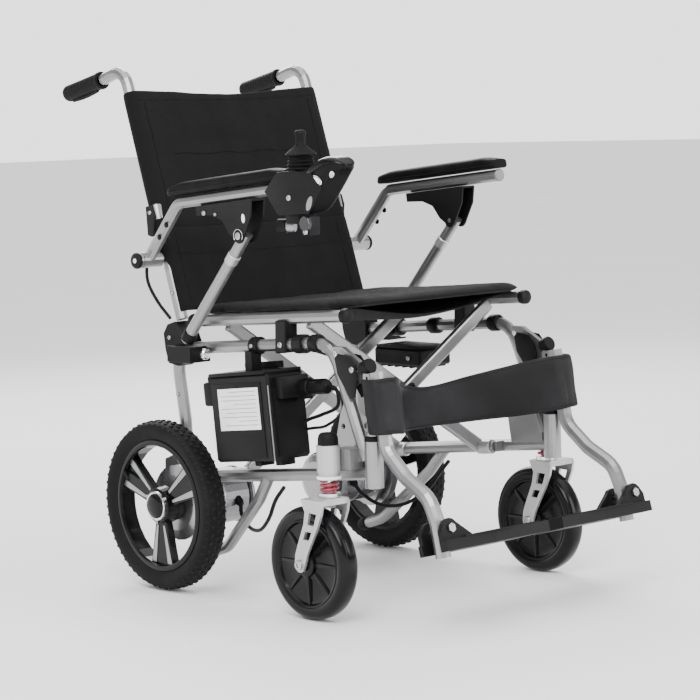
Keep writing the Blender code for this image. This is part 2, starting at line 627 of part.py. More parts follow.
def footplate(name, s):
    """Flip-up plate: two cheeks round the hanger tube, and a tread with a front lip."""
    forward = Vector((0, -math.cos(PLATE_TILT), math.sin(PLATE_TILT)))
    normal = Vector((0, math.sin(PLATE_TILT), math.cos(PLATE_TILT)))
    centre = Vector((s * HANGER_X, *PLATE_PIN))
    frame = Matrix((Vector((-s, 0, 0)), forward, normal)).transposed().to_4x4()
    frame.translation = centre
    outline = [(-0.024, -0.030), (-0.024, -0.021), (0.0155, -0.021), (0.0155, 0.021), (-0.024, 0.021),
               (-0.024, 0.038), (0.090, 0.034), (0.2055, 0.044), (0.2035, -0.034), (0.180, -0.046),
               (0.020, -0.046)]
    tread = flat_outline(outline, 0.018, frame @ Matrix.Translation((0, 0, -0.027)))
    cheek = [(-0.022, -0.034), (0.050, -0.034), (0.050, -0.020)]
    cheek += [(0.0165 * math.cos(math.radians(a)), 0.0165 * math.sin(math.radians(a))) for a in range(30, 151, 30)]
    cheek += [(-0.022, -0.004)]
    stands = [Matrix(((1, 0, 0, 0), (0, 0, 1, y), (0, 1, 0, 0), (0, 0, 0, 1))) for y in (-0.024, 0.024)]
    cheeks = [flat_outline(cheek, 0.009, frame @ stand) for stand in stands]
    bore = rod(centre - forward * 0.04, centre + forward * 0.04, 0.0048, 12)
    return part(name, cut(union(tread, *cheeks), bore), BLACK, centre, 30)


def footplate_pin(name, s):
    axis = Vector((0, -math.cos(PLATE_TILT), math.sin(PLATE_TILT)))
    centre = Vector((s * HANGER_X, *PLATE_PIN))
    shank = rod(centre - axis * 0.0290, centre + axis * 0.0315, 0.0042, 12)
    head = rod(centre + axis * 0.0292, centre + axis * 0.0330, 0.0078, 6)
    return part(name, union(shank, head), CAST, centre)


# ---- soft parts ---------------------------------------------------------------------------------------------------
def seat_sling(name):
    half, y0, y1 = SEAT_X - TUBE_R - 0.0015, -0.030, -0.434
    y = (y0 + y1) / 2
    slope = math.atan2(SEAT_FRONT[1] - SEAT_REAR[1], SEAT_REAR[0] - SEAT_FRONT[0])
    return part(name, box((0, y, seat_z(y) + 0.0165), (2 * half, y0 - y1, 0.024), slope), CLOTH, (0, y, seat_z(y)))


def back_sling(name, z0, z1):
    half = SEAT_X - TUBE_R - 0.0015
    low, high = cane_at(z0), cane_at(z1)
    middle = (low + high) / 2
    lean = math.atan2(CANE.y, CANE.z)
    return part(name, box(middle, (2 * half, 0.016, (high - low).length), lean), CLOTH, (0, BACK_PIN.y, BACK_PIN.z))


def calf_strap(name):
    """Band slung between the hangers; its middle sags back, and its ends wrap the hanger tubes."""
    count = 12
    inner = 0.1975
    middle = [(x, -0.532 + 0.128 * (1 - (x / inner) ** 2)) for x in
              (-inner + 2 * inner * i / count for i in range(count + 1))]
    wrap = [(0.2325, -0.483), (0.2345, -0.530), (0.216, -0.5475)]
    left = [(x, y) for x, y in reversed(wrap)]
    right = [(-x, y) for x, y in wrap]
    route = right + middle + left
    bm = bmesh.new()
    rows = []
    for x, y in route:
        sag = max(0.0, 1 - (x / inner) ** 2)
        top, bottom = 0.404 - 0.050 * sag, 0.312 - 0.018 * sag
        rows.append([bm.verts.new((x, y, z)) for z in (bottom, (top + bottom) / 2, top)])
    for a, b in zip(rows, rows[1:]):
        for i in range(2):
            bm.faces.new((a[i], b[i], b[i + 1], a[i + 1]))
    mesh = bpy.data.meshes.new("strap")
    bm.to_mesh(mesh)
    bm.free()
    sheet = mesh_object("strap", mesh)
    solid = sheet.modifiers.new("thickness", "SOLIDIFY")
    solid.thickness = 0.004
    solid.offset = 0
    bpy.context.view_layer.update()
    return part(name, baked(sheet), LEATHER, (0, SOCKET_Y, 0.35))


# ---- battery, controller and joystick -----------------------------------------------------------------------------
def battery(name):
    tilt = math.atan(SLOPE)
    y, z = -0.2165, 0.3225
    case = softened(box((-0.2235, y, z), (0.084, 0.158, 0.150), tilt), 0.005)
    handle = softened(box((-0.236, y + 0.090, z + 0.050), (0.026, 0.040, 0.036), tilt), 0.004, 1)
    shoulder = box((-0.199, y - 0.082, z + 0.050), (0.034, 0.020, 0.036), tilt)
    plug = rod((-0.199, y - 0.090, z + 0.052), (-0.199, y - 0.150, z + 0.058), 0.0125, 16)
    hook = box((-0.2235, y + 0.012, z + 0.090), (0.022, 0.018, 0.044))
    body = union(case, handle, shoulder, plug, hook)
    frame_tube = tube([(-FRAME_X, -0.10, mid_z(-0.10)), (-FRAME_X, -0.40, mid_z(-0.40))], TUBE_R + GAP, 0)
    return part(name, cut(body, frame_tube), BLACK, (-0.2235, y, z))


def controller_box(name):
    return part(name, softened(box((0.125, -0.238, 0.398), (0.080, 0.120, 0.032)), 0.004), BLACK,
                (-PIVOT_X, PIVOT_FRONT_Y, low_z(PIVOT_FRONT_Y)))


def joystick_pod(name):
    x = POD_X
    pod = plate([(-0.3525, 0.7445), (-0.372, 0.7475), (-0.420, 0.7520), (-0.438, 0.7640), (-0.462, 0.7665),
                 (-0.484, 0.7620), (-0.496, 0.7520), (-0.490, 0.7400), (-0.478, 0.7240), (-0.464, 0.7020),
                 (-0.430, 0.6760), (-0.3575, 0.6730), (-0.3525, 0.690)], x - 0.028, x + 0.028)
    clamp = box((x, -0.374, 0.6665), (0.030, 0.026, 0.020))
    knob = rod((x - 0.016, -0.412, 0.669), (x + 0.016, -0.412, 0.669), 0.0125, 16)
    spigot = rod((x, -0.3460, arm_z(-0.346)), (x, -0.366, arm_z(-0.366)), 0.0085, 12)
    body = union(softened(pod, 0.004, 1), clamp, knob, spigot)
    well = rod((x, STICK[0], 0.7380), (x, STICK[0], 0.775), 0.0150, 20)
    button_well = rod((x + 0.012, -0.4040, 0.7445), (x + 0.012, -0.4040, 0.770), 0.0062, 16)
    return part(name, cut(body, well, button_well), BLACK, (x, *ELBOW))


def joystick_gimbal(name):
    ball = rod((POD_X, STICK[0], 0.7440), (POD_X, STICK[0], 0.7600), 0.0120, 16, 0.0095)
    bore = rod((POD_X, STICK[0], 0.7400), (POD_X, STICK[0], 0.7650), 0.0065, 12)
    return part(name, cut(ball, bore), BLACK, (POD_X, *STICK))


def joystick_knob(name):
    y = STICK[0]
    stem = rod((POD_X, y, 0.7475), (POD_X, y, 0.790), 0.0040, 12)
    skirt = rod((POD_X, y, 0.7800), (POD_X, y, 0.7900), 0.0130, 20, 0.0090)
    top = softened(rod((POD_X, y, 0.7895), (POD_X, y, 0.8130), 0.0092, 20), 0.002)
    return part(name, union(stem, skirt, top), RUBBER, (POD_X, *STICK))


def power_button(name):
    button = rod((POD_X + 0.012, -0.4040, 0.7470), (POD_X + 0.012, -0.4040, 0.7530), 0.0056, 16)
    return part(name, button, GLOSS, (POD_X + 0.012, -0.404, 0.75))


# ---- cables -------------------------------------------------------------------------------------------------------
def smooth_route(points, count):
    """Points on a Catmull-Rom curve through the route."""
    route = [Vector(p) for p in points]
    route = [route[0] * 2 - route[1]] + route + [route[-1] * 2 - route[-2]]
    out = []
    spans = len(route) - 3
    for i in range(count + 1):
        at = spans * i / count
        k = min(int(at), spans - 1)
        t = at - k
        a, b, c, d = route[k:k + 4]
        out.append(0.5 * (2 * b + (c - a) * t + (2 * a - 5 * b + 4 * c - d) * t * t
                          + (3 * b - a - 3 * c + d) * t ** 3))
    return out


def cable(name, points, radius, count):
    return part(name, tube(smooth_route(points, count), radius, 0, 8), RUBBER, (0, 0, 0), 60)


# ---- assembly -----------------------------------------------------------------------------------------------------
LINK_Y = {"right": -0.3245, "left": -0.1060}
for side, sign in SIDES:
    side_frame(f"{side}_side_frame", sign)
    hinge_block(f"{side}_hinge_block", sign)
    saddle(f"{side}_saddle", sign)
    side_link(f"{side}_side_link", sign, LINK_Y[side])
    motor(f"{side}_motor", sign)
    tyre(f"{side}_tyre", sign)
    rim(f"{side}_rim", sign)
    caster_housing(f"{side}_caster_housing", sign)
    caster_spring(f"{side}_caster_spring", sign)
    caster_stem(f"{side}_caster_stem", sign)
    caster_fork(f"{side}_caster_fork", sign)
    caster_wheel(f"{side}_caster_wheel", sign)
    lower_cane(f"{side}_lower_cane", sign)
    upper_cane(f"{side}_upper_cane", sign)
    grip(f"{side}_grip", sign)
    hinge_lever(f"{side}_hinge_lever", sign)
    armrest_tube(f"{side}_armrest_tube", sign)
    armrest_pad(f"{side}_armrest_pad", sign)
    armrest_bracket(f"{side}_armrest_bracket", sign)
    strut(f"{side}_strut", sign)
    hanger(f"{side}_hanger", sign)
    footplate(f"{side}_footplate", sign)
    footplate_pin(f"{side}_footplate_pin", sign)

cross_brace("cross_brace_a", -1, (PIVOT_FRONT_Y, PIVOT_REAR_Y - 0.0065))
cross_brace("cross_brace_b", 1, (PIVOT_FRONT_Y + 0.0135, PIVOT_REAR_Y + 0.0070))
seat_sling("seat_sling")
back_sling("back_sling_lower", 0.492, FOLD_Z - 0.002)
back_sling("back_sling_upper", FOLD_Z + 0.002, 0.884)
calf_strap("calf_strap")
battery("battery")
controller_box("controller_box")
joystick_pod("joystick_pod")
joystick_gimbal("joystick_gimbal")
joystick_knob("joystick_knob")
power_button("power_button")
cable("joystick_cable", [(-0.2365, 0.000, 0.6285), (-0.2360, 0.040, 0.6135), (-0.2355, 0.066, 0.585),
                         (-0.2350, 0.069, 0.548), (-0.2330, 0.045, 0.512), (-0.2290, 0.015, 0.4825)], 0.003, 20)
cable("right_motor_cable", [(-0.2000, -0.2480, 0.1980), (-0.1990, -0.222, 0.172), (-0.1920, -0.196, 0.138),
                            (-0.1760, -0.152, 0.110), (-0.1600, -0.105, 0.106), (-0.1480, -0.068, 0.124),
                            (-0.1400, -0.0560, 0.142)], 0.0035, 20)
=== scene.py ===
"""Looks for the folding power wheelchair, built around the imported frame.

Metres, +Z up, chair facing -Y. Positions are given in the chair frame, whose Y is zero at the rear axle;
at() moves them into the world.
"""

import math

import bmesh
import bpy
from mathutils import Matrix, Vector, noise


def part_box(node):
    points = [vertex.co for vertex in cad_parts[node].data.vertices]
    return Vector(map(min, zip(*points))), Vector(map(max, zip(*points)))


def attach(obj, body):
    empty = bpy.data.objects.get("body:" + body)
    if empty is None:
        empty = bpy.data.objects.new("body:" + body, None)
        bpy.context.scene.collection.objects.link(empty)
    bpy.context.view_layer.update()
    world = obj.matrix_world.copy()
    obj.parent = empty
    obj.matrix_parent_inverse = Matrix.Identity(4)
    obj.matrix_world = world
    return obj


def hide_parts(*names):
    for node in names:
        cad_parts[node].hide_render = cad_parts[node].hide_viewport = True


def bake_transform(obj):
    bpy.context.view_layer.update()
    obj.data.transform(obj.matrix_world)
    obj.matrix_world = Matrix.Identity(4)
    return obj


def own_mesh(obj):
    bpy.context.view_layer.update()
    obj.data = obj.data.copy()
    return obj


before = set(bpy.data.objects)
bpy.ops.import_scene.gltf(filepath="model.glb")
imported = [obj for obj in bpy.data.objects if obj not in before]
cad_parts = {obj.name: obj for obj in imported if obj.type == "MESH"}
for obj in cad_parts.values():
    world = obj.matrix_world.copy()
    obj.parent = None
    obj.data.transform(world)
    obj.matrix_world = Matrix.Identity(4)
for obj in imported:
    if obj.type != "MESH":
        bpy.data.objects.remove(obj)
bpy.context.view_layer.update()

AXLE_Y = sum(c[1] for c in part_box("right_tyre")) / 2      # world Y of the rear axle
SIDES = (("right", -1), ("left", 1))

# chair frame dimensions, repeated from the CAD
SLOPE = 0.101
SEAT_X = 0.214
FRAME_X = 0.215
WHEEL_X, WHEEL_R = 0.269, 0.1525
CASTER_X, CASTER_Y, CASTER_R = 0.274, -0.404, 0.0958
SWIVEL_X, SWIVEL_Y = 0.262, -0.435
ARM_X = 0.252
ELBOW = (0.042, 0.588)
HANGER_X = 0.222
PLATE_PIN = (-0.65, 0.168)
PLATE_TILT = math.radians(16)
CANE_FOOT, CANE_TOP = (-0.001, 0.4805), (0.126, 0.88)
FOLD_Z = 0.651
POD_X, STICK_Y = -0.25, -0.377
LEVER_OUT = 0.0172            # outer face of the back's lever, beyond the cane's axis
FOLD_KEEP, BAND_KEEP = 0.62, 0.623      # width left when the chair is folded
SQUARE = 2 / 4.2              # superellipse power of the joystick housing
STRUT_TOP, STRUT_FOOT = (-0.23, 0.636), (-0.059, 0.448)
UP = (0, 0, 1)


def at(x, y, z):
    return Vector((x, y + AXLE_Y, z))


def mm(*values, each=2):
    """Groups of metres from a flat run of millimetres."""
    return [tuple(v / 1000 for v in values[i:i + each]) for i in range(0, len(values), each)]


def spoke(angle):
    """Unit vectors outwards and along the turn, in the plane of a wheel."""
    c, q = math.cos(angle), math.sin(angle)
    return Vector((0, c, q)), Vector((0, -q, c))


def seat_z(y):
    return 0.479 + (y + 0.036) * (0.504 - 0.479) / (-0.436 + 0.036)


def mid_z(y):
    return 0.428 - 0.0735 * (y - 0.004)


def low_z(y):
    return 0.1962 - SLOPE * y


CANE = Vector((0, CANE_TOP[0] - CANE_FOOT[0], CANE_TOP[1] - CANE_FOOT[1])).normalized()
CANE_BACK = Vector((0, CANE.z, -CANE.y))


def cane_y(z):
    return CANE_FOOT[0] + CANE.y * (z - CANE_FOOT[1]) / CANE.z


def arm_z(y):
    return 0.6905 + (y + 0.052) * (0.7185 - 0.6905) / (-0.345 + 0.052)


# ---- camera, light and floor ----
def look_from(position, target, roll):
    back = (position - target).normalized()
    right = Vector(UP).cross(back).normalized()
    up = back.cross(right)
    turn = Matrix.Rotation(roll, 4, back)
    basis = Matrix((turn @ right, turn @ up, back)).transposed().to_4x4()
    basis.translation = position
    return basis


camera_data = bpy.data.cameras.new("camera")
camera_data.sensor_width = 36
camera_data.lens = 125.18
camera = bpy.data.objects.new("camera", camera_data)
camera.matrix_world = look_from(at(-2.91, -3.411, 0.839), at(-0.002, -0.21, 0.417), math.radians(-1.77))
bpy.context.scene.collection.objects.link(camera)
bpy.context.scene.camera = camera


def area_light(name, position, target, size, power):
    data = bpy.data.lights.new(name, "AREA")
    data.size = size
    data.energy = power
    light = bpy.data.objects.new(name, data)
    light.matrix_world = look_from(Vector(position), Vector(target), 0)
    bpy.context.scene.collection.objects.link(light)


area_light("key", (-2.6, -2.0, 3.0), (0, 0, 0.4), 2.2, 150)
area_light("front", (1.2, -3.6, 1.8), (0, 0, 0.4), 2.0, 85)
area_light("back", (1.6, 2.6, 2.6), (0, 0, 0.5), 2.0, 110)

world = bpy.data.worlds.new("studio")
bpy.context.scene.world = world
world.use_nodes = True
sky = world.node_tree
coords = sky.nodes.new("ShaderNodeTexCoord")
parts_of = sky.nodes.new("ShaderNodeSeparateXYZ")
ramp = sky.nodes.new("ShaderNodeValToRGB")
sky.links.new(coords.outputs["Generated"], parts_of.inputs[0])
sky.links.new(parts_of.outputs["Z"], ramp.inputs["Fac"])
sky.links.new(ramp.outputs[0], sky.nodes["Background"].inputs["Color"])
for spot, level in ((0.0, 1.0), (0.14, 1.0), (0.32, 0.16), (0.62, 0.22), (0.8, 1.0)):
    stop = ramp.color_ramp.elements.new(spot) if spot else ramp.color_ramp.elements[0]
    stop.color = (level, level, level, 1)
sky.nodes["Background"].inputs["Strength"].default_value = 2.3


# ---- materials ----
class Look:
    """A Principled material with procedural colour variation, roughness and bump."""

    def __init__(self, name, colour, roughness, metallic=0.0, specular=0.5):
        self.made = bpy.data.materials.new(name)
        self.made.use_nodes = True
        self.tree = self.made.node_tree
        self.shader = self.tree.nodes["Principled BSDF"]
        self.set({"Metallic": metallic, "Specular IOR Level": specular, "Roughness": roughness,
                  "Base Color": (*colour, 1)})
        self.colour = colour
        self.coords = self.node("ShaderNodeTexCoord").outputs["Object"]
        self.height = None

    def set(self, values):
        for key, value in values.items():
            self.shader.inputs[key].default_value = value

    def node(self, kind, **values):
        made = self.tree.nodes.new(kind)
        for key, value in values.items():
            if key in made.inputs:
                made.inputs[key].default_value = value
            else:
                setattr(made, key, value)
        return made

    def link(self, out, socket):
        self.tree.links.new(out, socket)

    def noise(self, scale, detail=3.0, rough=0.5):
        made = self.node("ShaderNodeTexNoise", Scale=scale, Detail=detail, Roughness=rough)
        self.link(self.coords, made.inputs["Vector"])
        return made.outputs["Fac"]

    def vary(self, value, other, low=0.35, high=0.65):
        """Mix the colour towards another one by a texture."""
        return self.mixed(self.ranged(value, "From", low, high), other)

    def ranged(self, value, way, low, high):
        made = self.node("ShaderNodeMapRange", **{way + " Min": low, way + " Max": high})
        self.link(value, made.inputs["Value"])
        return made

    def mixed(self, ramp, other):
        mix = self.node("ShaderNodeMix", data_type="RGBA")
        source = self.shader.inputs["Base Color"]
        if source.links:
            self.link(source.links[0].from_socket, mix.inputs[6])
        else:
            mix.inputs[6].default_value = (*self.colour, 1)
        mix.inputs[7].default_value = (*other, 1)
        self.link(ramp.outputs[0], mix.inputs[0])
        self.link(mix.outputs[2], source)
        return self

    def shine(self, value, low, high):
        self.link(self.ranged(value, "To", low, high).outputs[0], self.shader.inputs["Roughness"])
        return self

    def bump(self, value, distance, strength=1.0):
        made = self.node("ShaderNodeBump", Distance=distance, Strength=strength)
        self.link(value, made.inputs["Height"])
        if self.height:
            self.link(self.height, made.inputs["Normal"])
        self.height = made.outputs[0]
        self.link(self.height, self.shader.inputs["Normal"])
        return self

    def weave(self, scale, depth):
        """Crossing wave textures, for woven cloth."""
        top = None
        for direction in "XZY":
            wave = self.node("ShaderNodeTexWave", wave_type="BANDS", bands_direction=direction, Scale=scale,
                             Distortion=0.6, **{"Detail Scale": 2.0})
            self.link(self.coords, wave.inputs["Vector"])
            out = wave.outputs["Fac"]
            if top:
                higher = self.node("ShaderNodeMath", operation="MAXIMUM")
                self.link(top, higher.inputs[0])
                self.link(out, higher.inputs[1])
                out = higher.outputs[0]
            top = out
        self.bump(top, depth)
        return top

    def cells(self, scale, depth, **values):
        """Raised grains, for moulded skin and leatherette."""
        made = self.node("ShaderNodeTexVoronoi", Scale=scale, **values)
        self.link(self.coords, made.inputs["Vector"])
        self.bump(made.outputs["Distance"], depth)


def edge_wear(look, colour, amount=0.3):
    """Lighter colour where edges are rubbed."""
    geometry = look.node("ShaderNodeNewGeometry")
    ramp = look.ranged(geometry.outputs["Pointiness"], "From", 0.53, 0.62)
    ramp.inputs["To Max"].default_value = amount
    look.mixed(ramp, colour)


def metal_look(name, colour, roughness, metallic, flake=1400.0):
    look = Look(name, colour, roughness, metallic)
    look.vary(look.noise(9.0, 4.0), tuple(c * 0.86 for c in colour), 0.42, 0.75)
    look.shine(look.noise(60.0, 4.0), roughness - 0.06, roughness + 0.08)
    look.bump(look.noise(flake, 1.0), 0.00003)
    edge_wear(look, tuple(min(1.0, c * 1.25) for c in colour))
    return look.made


def plastic_look(name, colour, roughness, grain=900.0, depth=0.00008, coat=0.0, specular=0.5):
    look = Look(name, colour, roughness, 0.0, specular)
    look.vary(look.noise(14.0, 5.0), tuple(c * 1.6 + 0.001 for c in colour), 0.45, 0.8)
    look.shine(look.noise(40.0, 5.0), roughness - 0.07, roughness + 0.1)
    look.bump(look.noise(grain, 2.0), depth)
    look.set({"Coat Weight": coat, "Coat Roughness": 0.12})
    edge_wear(look, tuple(c * 2.5 + 0.012 for c in colour))
    return look.made


SILVER = metal_look("silver_paint", (0.31, 0.31, 0.315), 0.31, 0.85)
CAST = metal_look("cast_alloy", (0.5, 0.5, 0.505), 0.38, 0.7, 700.0)
MOTOR = metal_look("motor_case", (0.34, 0.34, 0.35), 0.28, 0.9, 900.0)
CHROME = metal_look("bright_steel", (0.78, 0.78, 0.8), 0.16, 1.0)
BOLT = metal_look("bolt_steel", (0.46, 0.46, 0.48), 0.26, 1.0)
DARK_METAL = metal_look("dark_steel", (0.06, 0.06, 0.065), 0.35, 0.8)
BLACK = plastic_look("black_plastic", (0.0036, 0.0036, 0.004), 0.42, specular=0.13)
GLOSS = plastic_look("gloss_black", (0.003, 0.003, 0.0035), 0.2, 400.0, 0.00002, 0.08, 0.16)
RUBBER = plastic_look("soft_rubber", (0.0045, 0.0045, 0.005), 0.58, 700.0, 0.00012, specular=0.13)
TYRE = plastic_look("tyre_rubber", (0.006, 0.006, 0.0065), 0.66, 420.0, 0.0003, specular=0.13)
CABLE = plastic_look("cable_sheath", (0.004, 0.004, 0.0045), 0.45, 500.0, 0.00005, specular=0.15)
GREY = plastic_look("grey_plastic", (0.16, 0.16, 0.165), 0.4)
WHITE = plastic_look("white_plastic", (0.75, 0.75, 0.74), 0.45)
RED = plastic_look("red_enamel", (0.2, 0.007, 0.022), 0.28, 600.0, 0.00004, 0.5)


def pad_look():
    look = Look("armrest_skin", (0.0032, 0.0032, 0.0036), 0.52, 0.0, 0.09)
    look.vary(look.noise(22.0, 5.0), (0.0085, 0.0085, 0.0095), 0.4, 0.75)
    look.shine(look.noise(50.0, 4.0), 0.46, 0.64)
    look.cells(520.0, 0.00014)
    edge_wear(look, (0.03, 0.03, 0.033))
    return look.made


def cloth_look(name, colour, light, scale=260.0):
    look = Look(name, colour, 0.85, 0.0, 0.08)
    look.vary(look.noise(7.0, 6.0, 0.6), light, 0.4, 0.75)
    threads = look.weave(scale, 0.00018)
    look.vary(threads, tuple(c * 1.6 + 0.001 for c in colour), 0.55, 1.0)
    look.bump(look.noise(30.0, 5.0, 0.6), 0.0016, 0.6)
    look.set({"Sheen Weight": 0.03, "Sheen Roughness": 0.5})
    return look.made


def leather_look():
    look = Look("grey_leatherette", (0.0095, 0.0095, 0.0102), 0.5, 0.0, 0.12)
    look.vary(look.noise(12.0, 5.0), (0.016, 0.016, 0.0172), 0.35, 0.7)
    look.shine(look.noise(90.0, 4.0), 0.42, 0.6)
    look.cells(430.0, 0.0002, feature="SMOOTH_F1")
    look.bump(look.noise(24.0, 4.0), 0.001, 0.5)
    return look.made


PAD = pad_look()
CLOTH = cloth_look("black_cloth", (0.0042, 0.0042, 0.0046), (0.0085, 0.0085, 0.0095))
BINDING = cloth_look("cloth_binding", (0.0034, 0.0034, 0.0038), (0.0065, 0.0065, 0.007), 420.0)
LEATHER = leather_look()


def stage_look():
    look = Look("floor", (0.9, 0.9, 0.9), 0.75, 0.0, 0.2)
    look.vary(look.noise(1.2, 3.0), (0.87, 0.87, 0.87), 0.3, 0.8)
    look.bump(look.noise(180.0, 2.0), 0.0002)
    return look.made


# ---- making pieces ----
def piece(name, bm, look, body, smooth=40, node=None):
    """Turn a bmesh into a named piece that rides on a body, and may replace a CAD node."""
    bmesh.ops.recalc_face_normals(bm, faces=bm.faces)
    mesh = bpy.data.meshes.new(name)
    bm.to_mesh(mesh)
    bm.free()
    mesh.shade_smooth()
    if smooth:
        mesh.set_sharp_from_angle(angle=math.radians(smooth))
    mesh.materials.append(look)
    made = bpy.data.objects.new(name, mesh)
    bpy.context.scene.collection.objects.link(made)
    if body:
        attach(made, body)
    if node:
        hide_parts(node)
    return made


def modified(obj, *steps):
    """Apply modifiers and keep the result as the object's mesh."""
    for kind, values in steps:
        mod = obj.modifiers.new(kind, kind)
        for key, value in values.items():
            setattr(mod, key, value)
    graph = bpy.context.evaluated_depsgraph_get()
    baked = bpy.data.meshes.new_from_object(obj.evaluated_get(graph))
    obj.modifiers.clear()
    baked.name = obj.name
    obj.data = baked
    baked.shade_smooth()
    return obj


def route(points, count):
    """Points on a Catmull-Rom curve through the given ones."""
    pts = [Vector(p) for p in points]
    pts = [pts[0] * 2 - pts[1]] + pts + [pts[-1] * 2 - pts[-2]]
    spans = len(pts) - 3
    out = []
    for i in range(count + 1):
        u = spans * i / count
        k = min(int(u), spans - 1)
        t = u - k
        a, b, c, d = pts[k:k + 4]
        out.append(0.5 * (2 * b + (c - a) * t + (2 * a - 5 * b + 4 * c - d) * t * t
                          + (3 * b - a - 3 * c + d) * t ** 3))
    return out


def joined(bm, rings, caps=True):
    """Faces between neighbouring closed rings, and over both ends."""
    for low, high in zip(rings, rings[1:]):
        for k in range(len(low)):
            n = (k + 1) % len(low)
            bm.faces.new((low[k], low[n], high[n], high[k]))
    if caps:
        bm.faces.new(rings[0][::-1])
        bm.faces.new(rings[-1])


def closed(bm, top, low):
    """Faces over two grids of the same size, and round their rim."""
    across, along = len(top) - 1, len(top[0]) - 1
    for rows, way in ((top, 1), (low, -1)):
        for i in range(across):
            for j in range(along):
                bm.faces.new((rows[i][j], rows[i + 1][j], rows[i + 1][j + 1], rows[i][j + 1])[::way])
    rim = [(i, 0) for i in range(across)] + [(across, j) for j in range(along)]
    rim += [(i, along) for i in range(across, 0, -1)] + [(0, j) for j in range(along, 0, -1)]
    for (i, j), (k, m) in zip(rim, rim[1:] + rim[:1]):
        bm.faces.new((top[k][m], top[i][j], low[i][j], low[k][m]))


def superellipse(rx, ry, power, sides):
    """Points round a rounded square of power under 1, or an ellipse of power 1."""
    out = []
    for k in range(sides):
        a = math.tau * k / sides
        c, q = math.cos(a), math.sin(a)
        out.append((rx * math.copysign(abs(c) ** power, c), ry * math.copysign(abs(q) ** power, q)))
    return out


def swept(bm, points, radius, sides=12, caps=True):
    """A tube of one radius along points."""
    pts = [Vector(p) for p in points]
    rings = []
    side = None
    for i, p in enumerate(pts):
        ahead = (pts[min(i + 1, len(pts) - 1)] - pts[max(i - 1, 0)]).normalized()
        if side is None:
            side = ahead.orthogonal().normalized()
        side = (side - ahead * side.dot(ahead)).normalized()
        other = ahead.cross(side)
        rings.append([bm.verts.new(p + side * radius * math.cos(a) + other * radius * math.sin(a))
                      for a in (math.tau * k / sides for k in range(sides))])
    joined(bm, rings, caps)


def lathed(bm, profile, centre, axis, steps=32, close=False):
    """Turn (radius, along) points round an axis."""
    axis = Vector(axis).normalized()
    side = axis.orthogonal().normalized()
    other = axis.cross(side)
    centre = Vector(centre)
    rings = []
    for r, along in profile:
        if r < 1e-6:
            rings.append([bm.verts.new(centre + axis * along)])
        else:
            rings.append([bm.verts.new(centre + axis * along + (side * math.cos(a) + other * math.sin(a)) * r)
                          for a in (math.tau * k / steps for k in range(steps))])
    pairs = list(zip(rings, rings[1:]))
    if close:
        pairs.append((rings[-1], rings[0]))
    for low, high in pairs:
        for k in range(steps):
            n = (k + 1) % steps
            if len(low) == 1 and len(high) > 1:
                bm.faces.new((low[0], high[n], high[k]))
            elif len(high) == 1 and len(low) > 1:
                bm.faces.new((low[k], low[n], high[0]))
            elif len(low) > 1:
                bm.faces.new((low[k], low[n], high[n], high[k]))


def wire(name, points, radius, look, body, sides=6, caps=True):
    """A swept tube as a piece of its own."""
    bm = bmesh.new()
    swept(bm, points, radius, sides, caps)
    return piece(name, bm, look, body, 60)


def smoothed(obj, levels=1):
    return modified(obj, ("SUBSURF", {"levels": levels, "render_levels": levels}))


def mirrored(profile):
    """A profile that ends in the middle plane, and its other half."""
    return profile + [(r, -x) for r, x in profile[-2::-1]]


def rounded_block(name, centre, size, look, body, tilt=0.0, bevel=0.002):
    bm = bmesh.new()
    bmesh.ops.create_cube(bm, size=1)
    bmesh.ops.scale(bm, vec=size, verts=bm.verts)
    bmesh.ops.bevel(bm, geom=list(bm.edges), offset=bevel, segments=2, profile=0.6, affect="EDGES")
    turn = Matrix.Translation(centre) @ Matrix.Rotation(-tilt, 4, "X")
    bmesh.ops.transform(bm, matrix=turn, verts=bm.verts)
    return piece(name, bm, look, body, 35)


def turned(name, profile, centre, axis, body, look=BLACK, steps=28, smooth=35):
    bm = bmesh.new()
    lathed(bm, profile, centre, axis, steps)
    return piece(name, bm, look, body, smooth)


def bolt(name, centre, radius, body, look=BOLT, height=0.003, axis=None):
    """Round-headed screw with a hexagon socket; it faces outwards from the chair's middle."""
    r, h, socket = radius, height, radius * 0.5
    profile = [(0, h * 0.45), (socket, h * 0.45), (socket, h * 0.95), (socket * 1.15, h), (r * 0.78, h * 0.88),
               (r * 0.97, h * 0.5), (r, 0), (0, -0.0005)]
    axis = axis or (math.copysign(1, centre.x), 0, 0)
    return turned(name, profile, centre, axis, body, look, 24)


def panel(name, u_count, v_count, place, thickness, look, body, subdivide=1, smooth=None):
    """A sheet with two faces, each half the thickness away from the middle surface place(u, v)."""
    grid = [[Vector(place(i / u_count, j / v_count)) for j in range(v_count + 1)] for i in range(u_count + 1)]
    bm = bmesh.new()
    sheets = []
    for side in (1, -1):
        rows = []
        for i in range(u_count + 1):
            row = []
            for j in range(v_count + 1):
                du = grid[min(i + 1, u_count)][j] - grid[max(i - 1, 0)][j]
                dv = grid[i][min(j + 1, v_count)] - grid[i][max(j - 1, 0)]
                normal = du.cross(dv).normalized()
                edge = i in (0, u_count) or j in (0, v_count)
                share = 0.25 if edge else 0.5
                row.append(bm.verts.new(grid[i][j] + normal * side * thickness * share))
            rows.append(row)
        sheets.append(rows)
    closed(bm, *sheets)
    made = piece(name, bm, look, body, smooth)
    return smoothed(made, subdivide) if subdivide else made


# ---- materials of the nodes that stay ----
def dress(node, look):
    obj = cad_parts[node]
    if not obj.material_slots:
        obj.data.materials.append(look)
    for slot in obj.material_slots:
        slot.material = look


